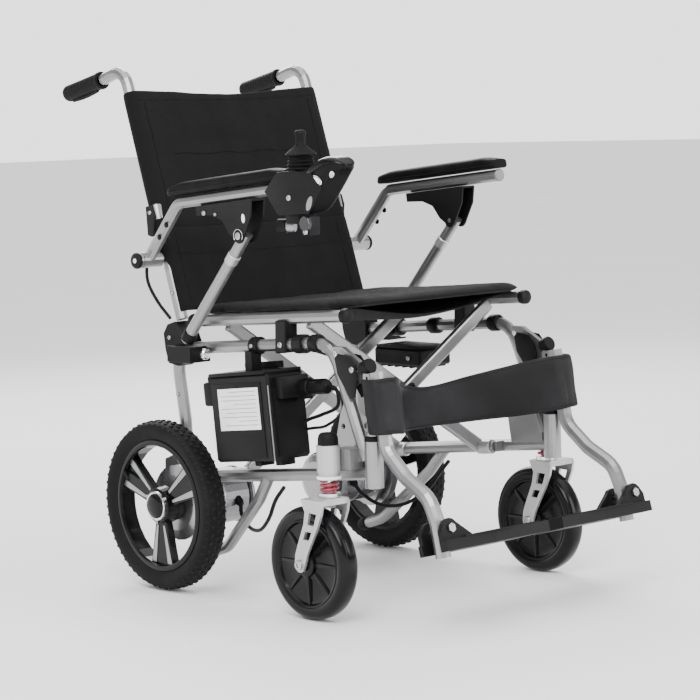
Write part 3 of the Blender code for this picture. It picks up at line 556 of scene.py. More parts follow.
SIDE_LOOKS = ((SILVER, "side_frame lower_cane upper_cane armrest_tube strut hanger"),
              (CAST, "caster_fork caster_housing"), (CHROME, "caster_stem"), (RED, "caster_spring"),
              (BLACK, "hinge_block saddle side_link hinge_lever armrest_bracket footplate"),
              (BOLT, "footplate_pin"), (MOTOR, "motor"), (TYRE, "tyre"), (GLOSS, "rim caster_wheel"),
              (RUBBER, "grip"), (PAD, "armrest_pad"))
MIDDLE_LOOKS = ((SILVER, "cross_brace_a cross_brace_b"), (GREY, "power_button"), (RUBBER, "joystick_knob"),
                (BLACK, "battery controller_box joystick_pod joystick_gimbal"), (LEATHER, "calf_strap"),
                (CABLE, "joystick_cable right_motor_cable"),
                (CLOTH, "seat_sling back_sling_lower back_sling_upper"))
for prefix, looks in (("right_", SIDE_LOOKS), ("left_", SIDE_LOOKS), ("", MIDDLE_LOOKS)):
    for look, kinds in looks:
        for kind in kinds.split():
            dress(prefix + kind, look)

# ---- floor ----
bm = bmesh.new()
bmesh.ops.create_grid(bm, x_segments=1, y_segments=1, size=40)
floor = piece("floor", bm, stage_look(), None)
floor.location.z = -0.0006


# ---- seat sling ----
def wrinkle(x, y, z, scale, seed=0.0):
    return noise.noise(Vector((x * scale + seed, y * scale, z * scale)))


SEAT_BACK_Y, SEAT_FRONT_Y = -0.033, -0.448
SEAT_HALF, CARRIER_HALF = 0.2262, 0.2005


def seat_pad():
    """Thin quilted cushion over the two seat tubes, with a crowned top and rolled edges."""
    bm = bmesh.new()
    across, along = 44, 40
    layers = []
    for top in (True, False):
        rows = []
        for i in range(across + 1):
            a = -1 + 2 * i / across
            row = []
            for j in range(along + 1):
                b = -1 + 2 * j / along
                corner = (abs(a) ** 9 + abs(b) ** 9) ** (1 / 9)
                pull = 1 - 0.02 * max(0.0, corner - 0.9) / 0.1 * (abs(a * b) ** 3)
                x = SEAT_HALF * a * pull
                y = (SEAT_BACK_Y + SEAT_FRONT_Y) / 2 + (SEAT_BACK_Y - SEAT_FRONT_Y) / 2 * b * pull
                edge = max(0.0, 1 - corner ** 16)
                inner = max(0.0, 1 - a * a) ** 0.5 * max(0.0, 1 - b * b) ** 0.35
                base = seat_z(y) + 0.0125
                if top:
                    ripple = 0.0026 * wrinkle(x * 1.3, y * 0.55, 0, 14) + 0.0012 * wrinkle(x, y, 1, 38)
                    ripple += 0.0012 * wrinkle(x * 0.35, y * 2.4, 2, 30)
                    dish = -0.0045 * inner
                    z = base + 0.0045 + 0.0115 * edge ** 0.45 + dish + ripple * edge
                else:
                    z = base + 0.0014
                row.append(bm.verts.new(at(x, y, z)))
            rows.append(row)
        layers.append(rows)
    closed(bm, *layers)
    return piece("seat_cushion", bm, CLOTH, None, 0)


def swollen(source, pressure, cap, voxel=0.006, frames=20):
    """Voxel remesh, blow up with Cloth pressure, limit how far each point moves, then smooth once."""
    remeshed = modified(source, ("REMESH", {"mode": "VOXEL", "voxel_size": voxel}))
    before = [v.co.copy() for v in remeshed.data.vertices]
    cloth = remeshed.modifiers.new("cloth", "CLOTH")
    cloth.settings.use_pressure = True
    cloth.settings.uniform_pressure_force = pressure
    cloth.settings.effector_weights.gravity = 0
    cloth.settings.quality = 5
    cloth.point_cache.frame_start = 1
    cloth.point_cache.frame_end = frames
    scene = bpy.context.scene
    for number in range(1, frames + 1):
        scene.frame_set(number)
    graph = bpy.context.evaluated_depsgraph_get()
    after = [v.co.copy() for v in remeshed.evaluated_get(graph).data.vertices]
    remeshed.modifiers.clear()
    for vertex, old, new in zip(remeshed.data.vertices, before, after):
        move = new - old
        if move.length > cap:
            move *= cap / move.length
        vertex.co = old + move
    scene.frame_set(1)
    return modified(remeshed, ("SMOOTH", {"factor": 0.5, "iterations": 2}))


seat = swollen(seat_pad(), 4.0, 0.0024)
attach(seat, "seat")
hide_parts("seat_sling")


def underside_point(u, v):
    """The seat's carrying cloth: slung between the seat tubes, deepest in the middle."""
    x = (-1 + 2 * u) * CARRIER_HALF
    y = -0.052 - 0.366 * v
    hang = 0.03 * max(0.0, 1 - (x / CARRIER_HALF) ** 2) ** 1.5 * (1 - 0.25 * (2 * v - 1) ** 8)
    return at(x, y, seat_z(y) + 0.0118 - hang + 0.001 * wrinkle(x, y, 3, 16))


underside = panel("seat_carrier", 36, 30, underside_point, 0.003, BINDING, "seat", 0, 60)


# ---- back upholstery ----
BACK_TOP, BACK_LOW = 0.884, 0.492
WRAP_END_Z = 0.625            # below this the cloth only covers the front of the canes
BACK_WRAP = 0.12              # share of the width that goes round each cane


def back_point(z, u, wrap=BACK_WRAP, r=0.0132):
    """A point of the back sling at height z; u runs across and round both canes."""
    y0 = cane_y(z)
    low = min(1.0, max(0.0, (WRAP_END_Z - z) / 0.05))
    if u < wrap or u > 1 - wrap:
        side = -1 if u < wrap else 1
        share = (wrap - u) / wrap if side < 0 else (u - 1 + wrap) / wrap
        a = math.radians(90 - (235 - 195 * low) * share)
        x = side * (SEAT_X + r * math.cos(a))
        return at(x, y0, z) - CANE_BACK * r * math.sin(a)
    t = (u - wrap) / (1 - 2 * wrap)
    x = -SEAT_X + 2 * SEAT_X * t
    across = 1 - (x / SEAT_X) ** 2
    fold = 0.0034 * wrinkle(x, z * 1.6, 0, 11, 3) + 0.0024 * wrinkle(x * 2.2, z * 0.7, 1, 24, 5)
    fold += 0.003 * wrinkle(x * 0.8 + z, z * 1.1 - x, 2, 17, 9)
    return at(x, y0, z) - CANE_BACK * (r - 0.012 * across + fold * across ** 0.5)


def upper_point(u, v):
    z = FOLD_Z - 0.012 + v * (BACK_TOP - FOLD_Z + 0.012)
    top = 0.006 * math.sin(u * 9.0) * max(0.0, (v - 0.9) / 0.1) * 0.5
    return back_point(z + top, u)


def lower_point(u, v):
    z = BACK_LOW + v * (FOLD_Z - 0.01 - BACK_LOW)
    return back_point(z, u)


upper = panel("back_fabric_upper", 46, 24, upper_point, 0.0034, CLOTH, "right_back")
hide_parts("back_sling_upper")
lower = panel("back_fabric_lower", 46, 18, lower_point, 0.0034, CLOTH, "right_frame")
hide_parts("back_sling_lower")


# ---- calf strap ----
# x, y, top and low edge, from the right end to the middle
STRAP_PLAN = mm(-235, -499, 404.5, 313, -237.8, -515, 405, 313.5, -233.5, -529.5, 405.5, 314.5, -215, -535,
                406.5, 314.5, -196, -533.5, 406, 313, -178, -521, 404, 310, -140, -479, 393, 302, -80, -426,
                376, 295, 0, -406, 364, 293, each=4)
STRAP_STEPS = 84


def strap_edge(pick):
    half = [Vector((spot[0], spot[1], spot[pick])) for spot in STRAP_PLAN]
    return route(half + [Vector((-p.x, p.y, p.z)) for p in half[-2::-1]], STRAP_STEPS)


STRAP_TOPS, STRAP_UNDERS = strap_edge(2), strap_edge(3)


def strap_point(u, v):
    """A band round both hanger uprights, bowed backwards in the middle."""
    k = round(u * STRAP_STEPS)
    p = STRAP_UNDERS[k].lerp(STRAP_TOPS[k], v)
    lean = (p.z - 0.36) * 0.1744 * min(1.0, max(0.0, (abs(p.x) - 0.1) / 0.09))
    puff = 0.003 * math.sin(math.pi * v) ** 0.6 * (1 if abs(p.x) < 0.2 else 0.3) - lean
    puff += 0.0022 * wrinkle(p.x, p.z, 4, 22)
    puff += 0.001 * wrinkle(p.x * 3.0, p.z * 0.6, 2, 26)
    return at(p.x, p.y - puff, p.z)


strap = panel("calf_band", STRAP_STEPS, 12, strap_point, 0.006, LEATHER, "right_leg")
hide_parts("calf_strap")


# ---- armrest pads ----
PAD_PLAN = mm(-40, 16.5, -45, 20, -60, 22.2, -120, 22.8, -200, 23, -290, 23, -325, 22.4, -342, 20, -349.8, 15)
PAD_BASE = 0.0126             # underside of the pad, above the armrest tube's axis


def armrest_pad(side, s):
    """Moulded pad: flat underside, rolled edges and a crowned top that rises a little at its front."""
    bm = bmesh.new()
    rows = []
    section = [(-0.86, 0.0), (-1.0, 0.16), (-1.0, 0.55), (-0.93, 0.8), (-0.74, 0.95), (-0.4, 1.0), (0.0, 1.02),
               (0.4, 1.0), (0.74, 0.95), (0.93, 0.8), (1.0, 0.55), (1.0, 0.16), (0.86, 0.0), (0.0, 0.0)]
    spots = route([Vector((y, half, 0)) for y, half in PAD_PLAN], 44)
    for spot in spots:
        y, half = spot.x, spot.y
        end = min(1.0, 0.72 + 8.0 * min(abs(y + 0.04), abs(y + 0.35)))
        base = arm_z(y) + PAD_BASE
        high = 0.0222 * end
        rows.append([bm.verts.new(at(s * ARM_X + half * a, y, base + high * b)) for a, b in section])
    joined(bm, rows)
    made = smoothed(piece(side + "_armrest_cushion", bm, PAD, side + "_armrest", 0))
    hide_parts(side + "_armrest_pad")
    around = [(spot, -1) for spot in spots[1:-1]] + [(spot, 1) for spot in spots[-2:0:-1]]
    loop = [at(s * ARM_X + spot.y * 1.004 * e, spot.x, arm_z(spot.x) + PAD_BASE + 0.006) for spot, e in around]
    bm = bmesh.new()
    swept(bm, loop + loop[:1], 0.0007, 6, False)
    piece(side + "_armrest_seam", bm, BLACK, side + "_armrest", 0)


# ---- push grips ----
def push_grip(side, s):
    start, end = at(s * SEAT_X, 0.2085, 0.9119), at(s * SEAT_X, 0.3158, 0.8892)
    axis = (end - start).normalized()
    length = (end - start).length
    profile = mm(11.8, 0, 15.8, 0.4, 16.6, 2, 16.6, 6, 15.2, 7.5)
    for k in range(11):
        x = 0.01 + k * 0.0075
        profile += [(0.015, x), (0.0154, x + 0.0012), (0.0154, x + 0.005), (0.015, x + 0.0062)]
    profile += [(0.0157, length - 0.012), (0.0157, length - 0.006), (0.0146, length - 0.0015), (0.011, length),
                (0, length)]
    made = turned(side + "_push_grip", profile, start, axis, side + "_back", RUBBER, 32, 50)
    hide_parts(side + "_grip")
    below = Vector((0, axis.z, -axis.y))
    wire(side + "_grip_rib", [start + axis * (0.02 + 0.0085 * k)
                              + below * (0.015 + 0.0022 * math.sin(math.pi * k / 9)) for k in range(10)],
         0.0038, RUBBER, side + "_back", 8)


# ---- rear wheels ----
TREAD_BLOCKS = 60
# x, radius, width and length of a block, for each row of the tread
TREAD_ROWS = mm(-19.8, 145.2, 5.4, 4.6, -10.3, 149.2, 6.4, 6.6, 0, 149.8, 5.8, 6, 10.3, 149, 6.4, 6.6, 19.8,
                145.2, 5.4, 4.6, each=4)


def rear_wheel(side, s):
    body = side + "_wheel"
    centre = at(s * WHEEL_X, 0, WHEEL_R)
    axis = Vector((s, 0, 0))
    bm = bmesh.new()
    profile = mirrored(mm(118.5, -16, 124, -20, 131, -22.8, 138, -23.3, 143, -22.2, 146.5, -19.5, 148.7, -15,
                          149.7, -8, 149.9, 0))
    lathed(bm, profile, centre, axis, 96, True)
    for k in range(TREAD_BLOCKS):
        for row, (x, r, wide, high) in enumerate(TREAD_ROWS):
            out, along = spoke(math.tau * (k + 0.5 * (row % 2)) / TREAD_BLOCKS)
            shoulder = row in (0, 4)
            tip = 0.0014 if shoulder else 0.0022
            lean = axis * (x / 0.0198) * 0.55
            up = (out + (lean if shoulder else lean * 0.15)).normalized()
            over = up.cross(along).normalized()
            mid = centre + axis * x + out * r
            ends = [[bm.verts.new(mid + up * h + over * p * wide * 0.5 * grow + along * q * high * 0.5 * grow)
                     for p, q in ((-1, -1), (1, -1), (1, 1), (-1, 1))]
                    for h, grow in ((-0.002, 1.0), (tip, 0.82))]
            joined(bm, ends)
    piece(side + "_drive_tyre", bm, TYRE, body, 40, side + "_tyre")
    for turn in (-90, 30, 150):
        a = math.radians(turn)
        out, along = Vector((0, -math.cos(a), math.sin(a))), Vector((0, math.sin(a), math.cos(a)))
        for edge in (-1, 1):
            bm = bmesh.new()
            joined(bm, [[bm.verts.new(centre + axis * face + out * r + along * edge * w)
                         for r, w in mm(36, 6.5, 36, 11.2, 104, 28.5, 104, 16.5)] for face in (0.0102, 0.0111)])
            piece(f"{side}_spoke_stripe_{turn % 360}_{edge + 1}", bm, SILVER, body, 30)
    turned(side + "_hub_ring", mm(22.2, 19.5, 22.2, 22.5, 24.5, 23.2, 26.2, 22, 26.8, 18.5, 22.2, 18), centre,
           axis, body, CHROME, 40)
    turned(side + "_hub_cap", mm(21.8, 18.5, 21.8, 23.5, 19, 26.2, 11, 27.8, 0, 28.2), centre, axis, body,
           GLOSS, 36)
    turned(side + "_rim_lip", mm(107, 15, 108.5, 18.5, 112, 19, 117.5, 17.2, 118, 15), centre, axis, body,
           GLOSS, 72)
    for k in range(3):
        bolt(f"{side}_hub_bolt_{k}", centre + axis * 0.0185 + spoke(math.radians(30 + 120 * k))[0] * 0.03,
             0.003, body, axis=axis)
    tip = centre + Vector((0, 0.0936, 0.052)) + axis * 0.016
    bends = ((0, 0, 0), (-0.01, -0.0055, 0.004), (-0.019, -0.011, 0.006))
    bm = bmesh.new()
    swept(bm, [tip + Vector((0, y, z)) + axis * x for y, z, x in bends], 0.003, 10)
    piece(side + "_valve", bm, RUBBER, body, 40)


# ---- casters ----
def caster(side, s):
    centre = at(s * CASTER_X, CASTER_Y, CASTER_R)
    body = side + "_caster"
    axis = Vector((s, 0, 0))
    profile = mirrored(mm(6.1, -22, 19, -22, 21.5, -20.5, 23, -14, 30, -11.2, 62, -10.5, 68, -12, 70.5, -16.5,
                          72.5, -17.2, 74.5, -16, 77, -17.2, 85, -17.8, 90.5, -16, 94, -12, 95.6, -6, 95.8, 0))
    bm = bmesh.new()
    lathed(bm, profile, centre, axis, 72, True)
    piece(side + "_caster_disc", bm, GLOSS, body, 40, side + "_caster_wheel")
    for face in (-1, 1):
        bm = bmesh.new()
        for k in range(8):
            out, along = spoke(math.tau * k / 8)
            joined(bm, [[bm.verts.new(centre + out * r + along * w * q + axis * face * x)
                         for q, x in ((-1, 0.0085), (1, 0.0085), (0.6, h), (-0.6, h))]
                        for r, w, h in mm(20, 5, 16.5, 69, 3.5, 13.5, each=3)])
        piece(f"{side}_caster_ribs_{face + 1}", bm, GLOSS, body, 35)
        turned(f"{side}_caster_axle_{face + 1}", mm(8.5, 0, 8.5, 3.8, 7.2, 4.8, 4, 4.8, 3.6, 3, 0, 3),
               centre + axis * face * 0.0318, axis * face, side + "_fork", BOLT, 24)
    top = at(s * SWIVEL_X, SWIVEL_Y, 0)
    coil_turns, steps = 2.6, 90
    spots = [(math.tau * coil_turns * k / steps, 0.2168 + 0.019 * k / steps) for k in range(steps + 1)]
    coil = wire(side + "_coil", [top + Vector((0.0138 * math.cos(a), 0.0138 * math.sin(a), z))
                                 for a, z in spots], 0.0026, RED, side + "_frame", 10)
    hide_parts(side + "_caster_spring")
    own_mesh(coil)


FORK_ROWS = mm(-460, 207, -411, 207, -463.5, 199, -415, 196, -460, 184, -420.5, 186.5, -451, 164, -416.5, 165.5,
               -445, 153, -411.5, 154, -437, 139, -405, 139.5, -431, 129, -400, 128.5, -422.5, 113, -393.5,
               111.5, -416.5, 96, -391.5, 96, -412, 86.5, -396, 86.5, -407.5, 83.5, -400.5, 83.5, each=4)
FORK_WINDOWS = {(2, 1), (4, 1)}


def fork_leg(bm, x0, x1):
    """Curved leg with two windows: a grid of three columns, walled wherever a cell is missing."""
    shares = (0.0, 0.27, 0.73, 1.0)
    faces = [[[bm.verts.new(at(x, y0 + (y1 - y0) * w, z0 + (z1 - z0) * w)) for w in shares]
              for y0, z0, y1, z1 in FORK_ROWS] for x in (x0, x1)]
    cells = {(i, j) for i in range(len(FORK_ROWS) - 1) for j in range(3)} - FORK_WINDOWS
    for i, j in sorted(cells):
        for grid in faces:
            bm.faces.new((grid[i][j], grid[i + 1][j], grid[i + 1][j + 1], grid[i][j + 1]))
        for (di, dj), (a, b) in (((-1, 0), ((i, j), (i, j + 1))), ((1, 0), ((i + 1, j), (i + 1, j + 1))),
                                 ((0, -1), ((i, j), (i + 1, j))), ((0, 1), ((i, j + 1), (i + 1, j + 1)))):
            if (i + di, j + dj) not in cells:
                bm.faces.new((faces[0][a[0]][a[1]], faces[0][b[0]][b[1]], faces[1][b[0]][b[1]],
                              faces[1][a[0]][a[1]]))


def fork(side, s):
    bm = bmesh.new()
    for leg in (-1, 1):
        middle = s * CASTER_X + leg * 0.029
        fork_leg(bm, middle - 0.0025, middle + 0.0025)
    edges = [e for e in bm.edges if len(e.link_faces) == 2 and e.calc_face_angle(0) > 0.9]
    bmesh.ops.bevel(bm, geom=edges, offset=0.0009, segments=2, profile=0.6, affect="EDGES")
    crown = mm(-463, 198.5, -460, 207.8, -413, 207.8, -410.5, 201, -420, 196, -454, 196)
    joined(bm, [[bm.verts.new(at(s * CASTER_X + x, y, z)) for y, z in crown] for x in (-0.0262, 0.0262)])
    piece(side + "_fork_casting", bm, CAST, side + "_fork", 35, side + "_caster_fork")


for side, s in SIDES:
    for build in (armrest_pad, push_grip, rear_wheel, caster, fork):
        build(side, s)


# ---- joystick ----
ARM = "right_armrest"
# y, half width, low and high
POD_SECTIONS = mm(-352.5, 20.5, 690, 744, -360, 24.5, 680, 745.5, -372, 26.8, 675, 747, -400, 27.8, 673.5, 748,
                  -420, 28, 679, 753.5, -436, 27.8, 693, 761, -452, 27, 711, 766.8, -466, 25.6, 727, 768, -477,
                  22.8, 738.5, 766, -487, 17.8, 746, 761.2, -492.5, 12, 749, 756.8, -495.5, 6, 750.8, 754,
                  each=4)


def joystick_shell():
    """Moulded housing: superellipse sections along Y, dome over the front."""
    bm = bmesh.new()
    spots = route([Vector((y, w, 0)) for y, w, _, _ in POD_SECTIONS], 44)
    heights = route([Vector((low, high, 0)) for _, _, low, high in POD_SECTIONS], 44)
    joined(bm, [[bm.verts.new(at(POD_X + x, spot.x, (height.x + height.y) / 2 + z))
                 for x, z in superellipse(spot.y, (height.y - height.x) / 2, SQUARE, 40)]
                for spot, height in zip(spots, heights)])
    piece("joystick_housing", bm, BLACK, ARM, 50, "joystick_pod")


def slab(name, outline, x0, x1, look, body, bevel=0.0006):
    """A plate from a (y, z) outline in the chair frame between two x values, with softened edges."""
    bm = bmesh.new()
    joined(bm, [[bm.verts.new(at(x, y, z)) for y, z in outline] for x in (x0, x1)])
    if bevel:
        edges = [e for e in bm.edges if abs(e.verts[0].co.x - e.verts[1].co.x) < 1e-6]
        bmesh.ops.bevel(bm, geom=edges, offset=bevel, segments=2, profile=0.6, affect="EDGES")
    return piece(name, bm, look, body, 30)


def oval(cy, cz, ry, rz, turn=0.0, count=24):
    """(y, z) outline of a turned ellipse."""
    c, q = math.cos(turn), math.sin(turn)
    return [(cy + y * c - z * q, cz + y * q + z * c) for y, z in superellipse(ry, rz, 1, count)]


def joystick_hood():
    """Glossy cover over the front of the housing, with a rim that stands proud."""
    bm = bmesh.new()
    rows = []
    for y, w, low, high in POD_SECTIONS[4:]:
        row = []
        for k in range(25):
            a = math.radians(12 + 6.5 * k)
            x = (w + 0.0012) * math.copysign(abs(math.cos(a)) ** SQUARE, math.cos(a))
            z = ((high - low) / 2 + 0.0012) * math.sin(a) ** SQUARE
            row.append(bm.verts.new(at(POD_X + x, y - 0.0006, (low + high) / 2 + z)))
        rows.append(row)
    for low, high in zip(rows, rows[1:]):
        for k in range(24):
            bm.faces.new((low[k], low[k + 1], high[k + 1], high[k]))
    made = smoothed(piece("joystick_hood", bm, GLOSS, ARM, 60))
    modified(made, ("SOLIDIFY", {"thickness": 0.0016, "offset": 0}))


joystick_shell()
joystick_hood()
for name, outline, inner, thick, look, bevel in (
        ("plate", mm(-317, 712, -350, 744, -390, 747, -435, 742, -458, 719, -426, 676, -350, 673),
         -278.6, 2.6, BLACK, 0.9),
        ("lamp", oval(-0.444, 0.73, 0.015, 0.0085, 0.25), -277.6, 2, CHROME, 0.6),
        ("side_light", oval(-0.478, 0.74, 0.005, 0.006, 0.6), -272.8, 1.4, CHROME, 0.4),
        ("lamp_lens", oval(-0.444, 0.73, 0.0105, 0.0056, 0.25), -279, 1.6, WHITE, 0.4),
        ("slot", oval(-0.43, 0.693, 0.0056, 0.013, 0.45), -280.8, 1.8, GREY, 0.6)):
    slab("joystick_" + name, outline, (inner - thick) / 1000, inner / 1000, look, ARM, bevel / 1000)
bolt("joystick_bolt", at(-0.2811, -0.379, 0.702), 0.0052, ARM)
rounded_block("joystick_clamp", at(POD_X, -0.373, 0.668), (0.04, 0.034, 0.02), BLACK, ARM, 0, 0.003)
turned("joystick_clamp_knob", mm(9.6, 0, 10.3, 1, 10.3, 19, 9.3, 20, 0, 20), at(-0.26, -0.34, 0.654),
       (0.5, -0.87, 0), ARM, SILVER)
turned("joystick_clamp_sleeve", mm(11.8, 0, 12.2, 1, 12.2, 15, 10.6, 16, 0, 16), at(-0.265, -0.3313, 0.654),
       (0.5, -0.87, 0), ARM)
turned("joystick_adjuster", mm(12, 0, 13, 1, 13, 6, 11.8, 7.5, 0, 8), at(-0.2725, -0.413, 0.66), (-1, 0, 0),
       ARM, DARK_METAL, 8)
bolt("joystick_low_bolt", at(-0.2765, -0.413, 0.646), 0.0048, ARM)
rounded_block("joystick_hanger", at(-0.262, -0.41, 0.656), (0.024, 0.02, 0.032), BLACK, ARM, 0, 0.003)
for k in range(5):
    turned(f"joystick_pip_{k}", mm(1.3, 0, 1.3, 1.2, 0.9, 1.6, 0, 1.7),
           at(POD_X - 0.012 + 0.006 * k, -0.456, 0.7652), (0, -0.25, 0.97), ARM, WHITE if k < 3 else RED, 12)
turned("joystick_button_ring", mm(6, 0, 7.8, 0, 8, 1.2, 6.2, 1.4), at(POD_X + 0.012, -0.404, 0.7484), UP, ARM,
       DARK_METAL)


def stick_piece(name, levels, body, smooth, node):
    """Rounded-square rings round the stick at heights given with half width and power."""
    bm = bmesh.new()
    joined(bm, [[bm.verts.new(at(POD_X + x, STICK_Y + y, z)) for x, y in superellipse(half, half, power, 32)]
                for z, half, power in levels])
    return piece(name, bm, RUBBER, body, smooth, node)


bellows = mm(747.2, 20.5, 749, 21.2, 752, 18, 755, 20, 758, 17.2, 761, 19.2, 764, 16.5, 767, 18.5, 770, 16,
             773.5, 17.8)
boot = stick_piece("joystick_boot", [(z, half, 0.5) for z, half in bellows], None, 60, "joystick_gimbal")
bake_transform(boot)
stick_piece("joystick_handle", [(0.772, 0.0214, 0.5), (0.7732, 0.0222, 0.5), (0.7752, 0.0205, 0.5),
                                (0.785, 0.0108, 0.7), (0.788, 0.0088, 1), (0.794, 0.008, 1), (0.801, 0.0084, 1),
                                (0.807, 0.0098, 1), (0.8105, 0.0094, 1), (0.8128, 0.006, 1)], "stick", 50,
            "joystick_knob")


# ---- battery ----
BATTERY_TILT = math.atan(SLOPE)
ROOT = "right_frame"


def on_battery(x, y, z):
    """Battery coordinates: y backwards and z up along the case, from its middle."""
    turn = Matrix.Rotation(-BATTERY_TILT, 3, "X")
    return at(-0.2235, -0.2165, 0.3225) + turn @ Vector((x, y, z))


def battery_block(name, centre, size, look=BLACK, bevel=0.002):
    return rounded_block("battery_" + name, on_battery(*centre), size, look, ROOT, BATTERY_TILT, bevel)


for name, look, bevel, values in (
        ("lid", BLACK, 1.5, (0, 2, 76.5, 85, 150, 6)), ("rail", BLACK, 2, (30, 10, 86, 14, 90, 12)),
        ("front_rib", GREY, 0.3, (-40.8, -78.2, -10, 1.4, 2, 128)),
        ("front_panel", BLACK, 1.2, (3, -79.8, -10, 68, 3, 118)),
        ("side_panel", BLACK, 0.8, (-42.4, 4, -4, 2, 130, 130)),
        ("label", WHITE, 0.2, (-43.8, 0, 16, 0.6, 108, 72)),
        ("latch_block", BLACK, 3, (4, -86, 48, 62, 24, 38)),
        ("handle_tab", BLACK, 5, (-20, 88, 44, 36, 26, 42)),
        ("red_seal", RED, 0.8, (39.2, -70, -55, 3, 14, 32)),
        ("foot_0", BLACK, 1.8, (6, 5, -80, 30, 18, 12)), ("foot_1", BLACK, 1.8, (6, -50, -80, 30, 18, 12))):
    battery_block(name, *mm(*values, each=3), look, bevel / 1000)
for k, wide in enumerate((0.07, 0.094, 0.094, 0.06, 0.094, 0.08, 0.094, 0.05, 0.086)):
    battery_block(f"label_line_{k}", (-0.04425, -0.047 + wide / 2, 0.046 - 0.0072 * k), (0.0002, wide, 0.001),
                  GREY, 0.00005)
turned("battery_socket", mm(14, 0, 15.2, 1.5, 15.2, 18, 14, 19.5, 0, 19.5), at(-0.199, -0.3085, 0.376),
       (0, -1, 0.1), ROOT, steps=32)
turned("battery_connector", mm(11, 0, 12.4, 1, 12.4, 30, 10, 34, 7, 36, 0, 36), at(-0.199, -0.33, 0.379),
       (0.1, -1, 0.08), ROOT, GLOSS, 32)


def lead(name, points, radius, body):
    wire(name, [at(*p) for p in route(points, 48)], radius, CABLE, body, 10)


lead("battery_lead_upper", mm(-195.5, -364, 381.5, -190, -380, 375, -180, -370, 345, -182, -330, 328, -186,
                              -306, 320, -190, -296, 314, each=3), 0.0032, ROOT)
lead("battery_lead_lower", mm(-195, -365, 380, -196, -395, 370, -190, -392, 338, -188, -350, 312, -188, -315,
                              305, -190, -297, 302, each=3), 0.0026, ROOT)
lead("frame_lead", mm(-201, -400, 433, -196, -403, 405, -193, -401, 370, -196, -408, 330, -201, -414, 290, -204,
                      -410, 256, each=3), 0.0028, ROOT)
lead("left_motor_cable_loop", mm(200, -248, 196, 199, -222, 170, 192, -196, 138, 176, -152, 110, 160, -105, 106,
                                 148, -68, 124, 140, -53, 145, each=3), 0.0035, "left_frame")


# ---- frame fittings ----
LATCH = mm(-420, 434, -428, 442, -456, 439, -470, 425, -474, 406, -468, 372, -456, 368, -443, 386, -426, 408)
FITTINGS = (("latch_knob", "frame", BLACK, 30, "black_fitting", (215, -478, 418), (0, -0.92, 0.39),
             (11.8, 0, 13, 1.2, 13, 16, 11.8, 18, 0, 18.5)),
            ("elbow_cap", "frame", BLACK, 32, "black_fitting", (0, 42, 588), (1, 0, 0),
             (13.7, 275.5, 14.6, 276.8, 14.6, 280, 13.2, 282.2, 6, 283, 0, 283)),
            ("hanger_plug", "frame", BLACK, 32, "black_fitting", (215, -495, 0), UP,
             (13.4, 299, 14.6, 299, 15, 301, 15, 307, 14.4, 308.5, 13.4, 309)),
            ("hanger_top_cap", "leg", BLACK, 32, "black_fitting", (215, -495, 0), UP,
             (10.6, 401, 11.3, 401.5, 11.4, 406, 10.4, 410.5, 5, 412, 0, 412.2)),
            ("tip_lever_cap", "frame", RUBBER, 28, "rubber", (188, -34, 60), (0, 0.95, -0.3),
             (10.7, -4, 12, -3, 12.4, 10, 10.5, 15, 0, 16)),
            ("motor_gland", "frame", BLACK, 20, "black_fitting", (140, -48, 150), (0, -0.55, -0.5),
             (6, -4, 7.8, -2, 7.8, 6, 5, 14, 0, 14.5)),
            ("strut_plunger", "frame", CHROME, 28, "frame_tube", (239, -78.8, 424), (0, -1, 0.07),
             (6, 0, 7.5, 1, 7.5, 12, 10, 13, 10, 18, 8, 20, 0, 20.2)),
            ("swivel_cap", "frame", RUBBER, 36, "black_fitting", (262, -435, 0), UP,
             (16, 294.2, 17.2, 295, 17.4, 297.5, 17, 305.6, 15.2, 311.2, 12, 314.4, 6, 315.2, 0, 315.2)),
            ("swivel_ring", "frame", WHITE, 36, "frame_tube", (262, -435, 0), UP,
             (19.6, 237.5, 20.5, 238.5, 20.5, 242, 19.6, 243.2)),
            ("spring_core", "stem", RED, 24, "spring", (262, -435, 0), UP,
             (7.6, 214.5, 10, 215, 10, 224, 7.6, 224.5)),
            ("fork_nut", "fork", BOLT, 6, "frame_tube", (262, -435, 0), UP,
             (7.2, 190, 11, 190.5, 11, 195.8, 7.2, 196)))
BOLTS = (("collar_bolt", "frame", 229.6, -208, 443.582, 4.2), ("saddle_bolt", "frame", 229.6, -284, 449, 5.5),
         ("hinge_bolt", "frame", 231.6, -2, 424, 5.8), ("hinge_bolt_rear", "frame", 231.6, 16, 448, 4.2),
         ("lower_cane_bolt", "frame", 224.8, 13, 527, 3.8), ("post_bolt", "frame", 225.8, 5, 346, 3.8),
         ("front_bracket_bolt", "frame", 228.6, -462, 417, 5.5),
         ("front_bracket_screw", "frame", 228.6, -420, 444, 3.5), ("strut_bolt", "prop", 268.6, -230, 636, 6.8),
         ("bracket_bolt_0", "armrest", 267.6, -139, 674, 4.6),
         ("bracket_bolt_1", "armrest", 267.6, -170, 672, 3))
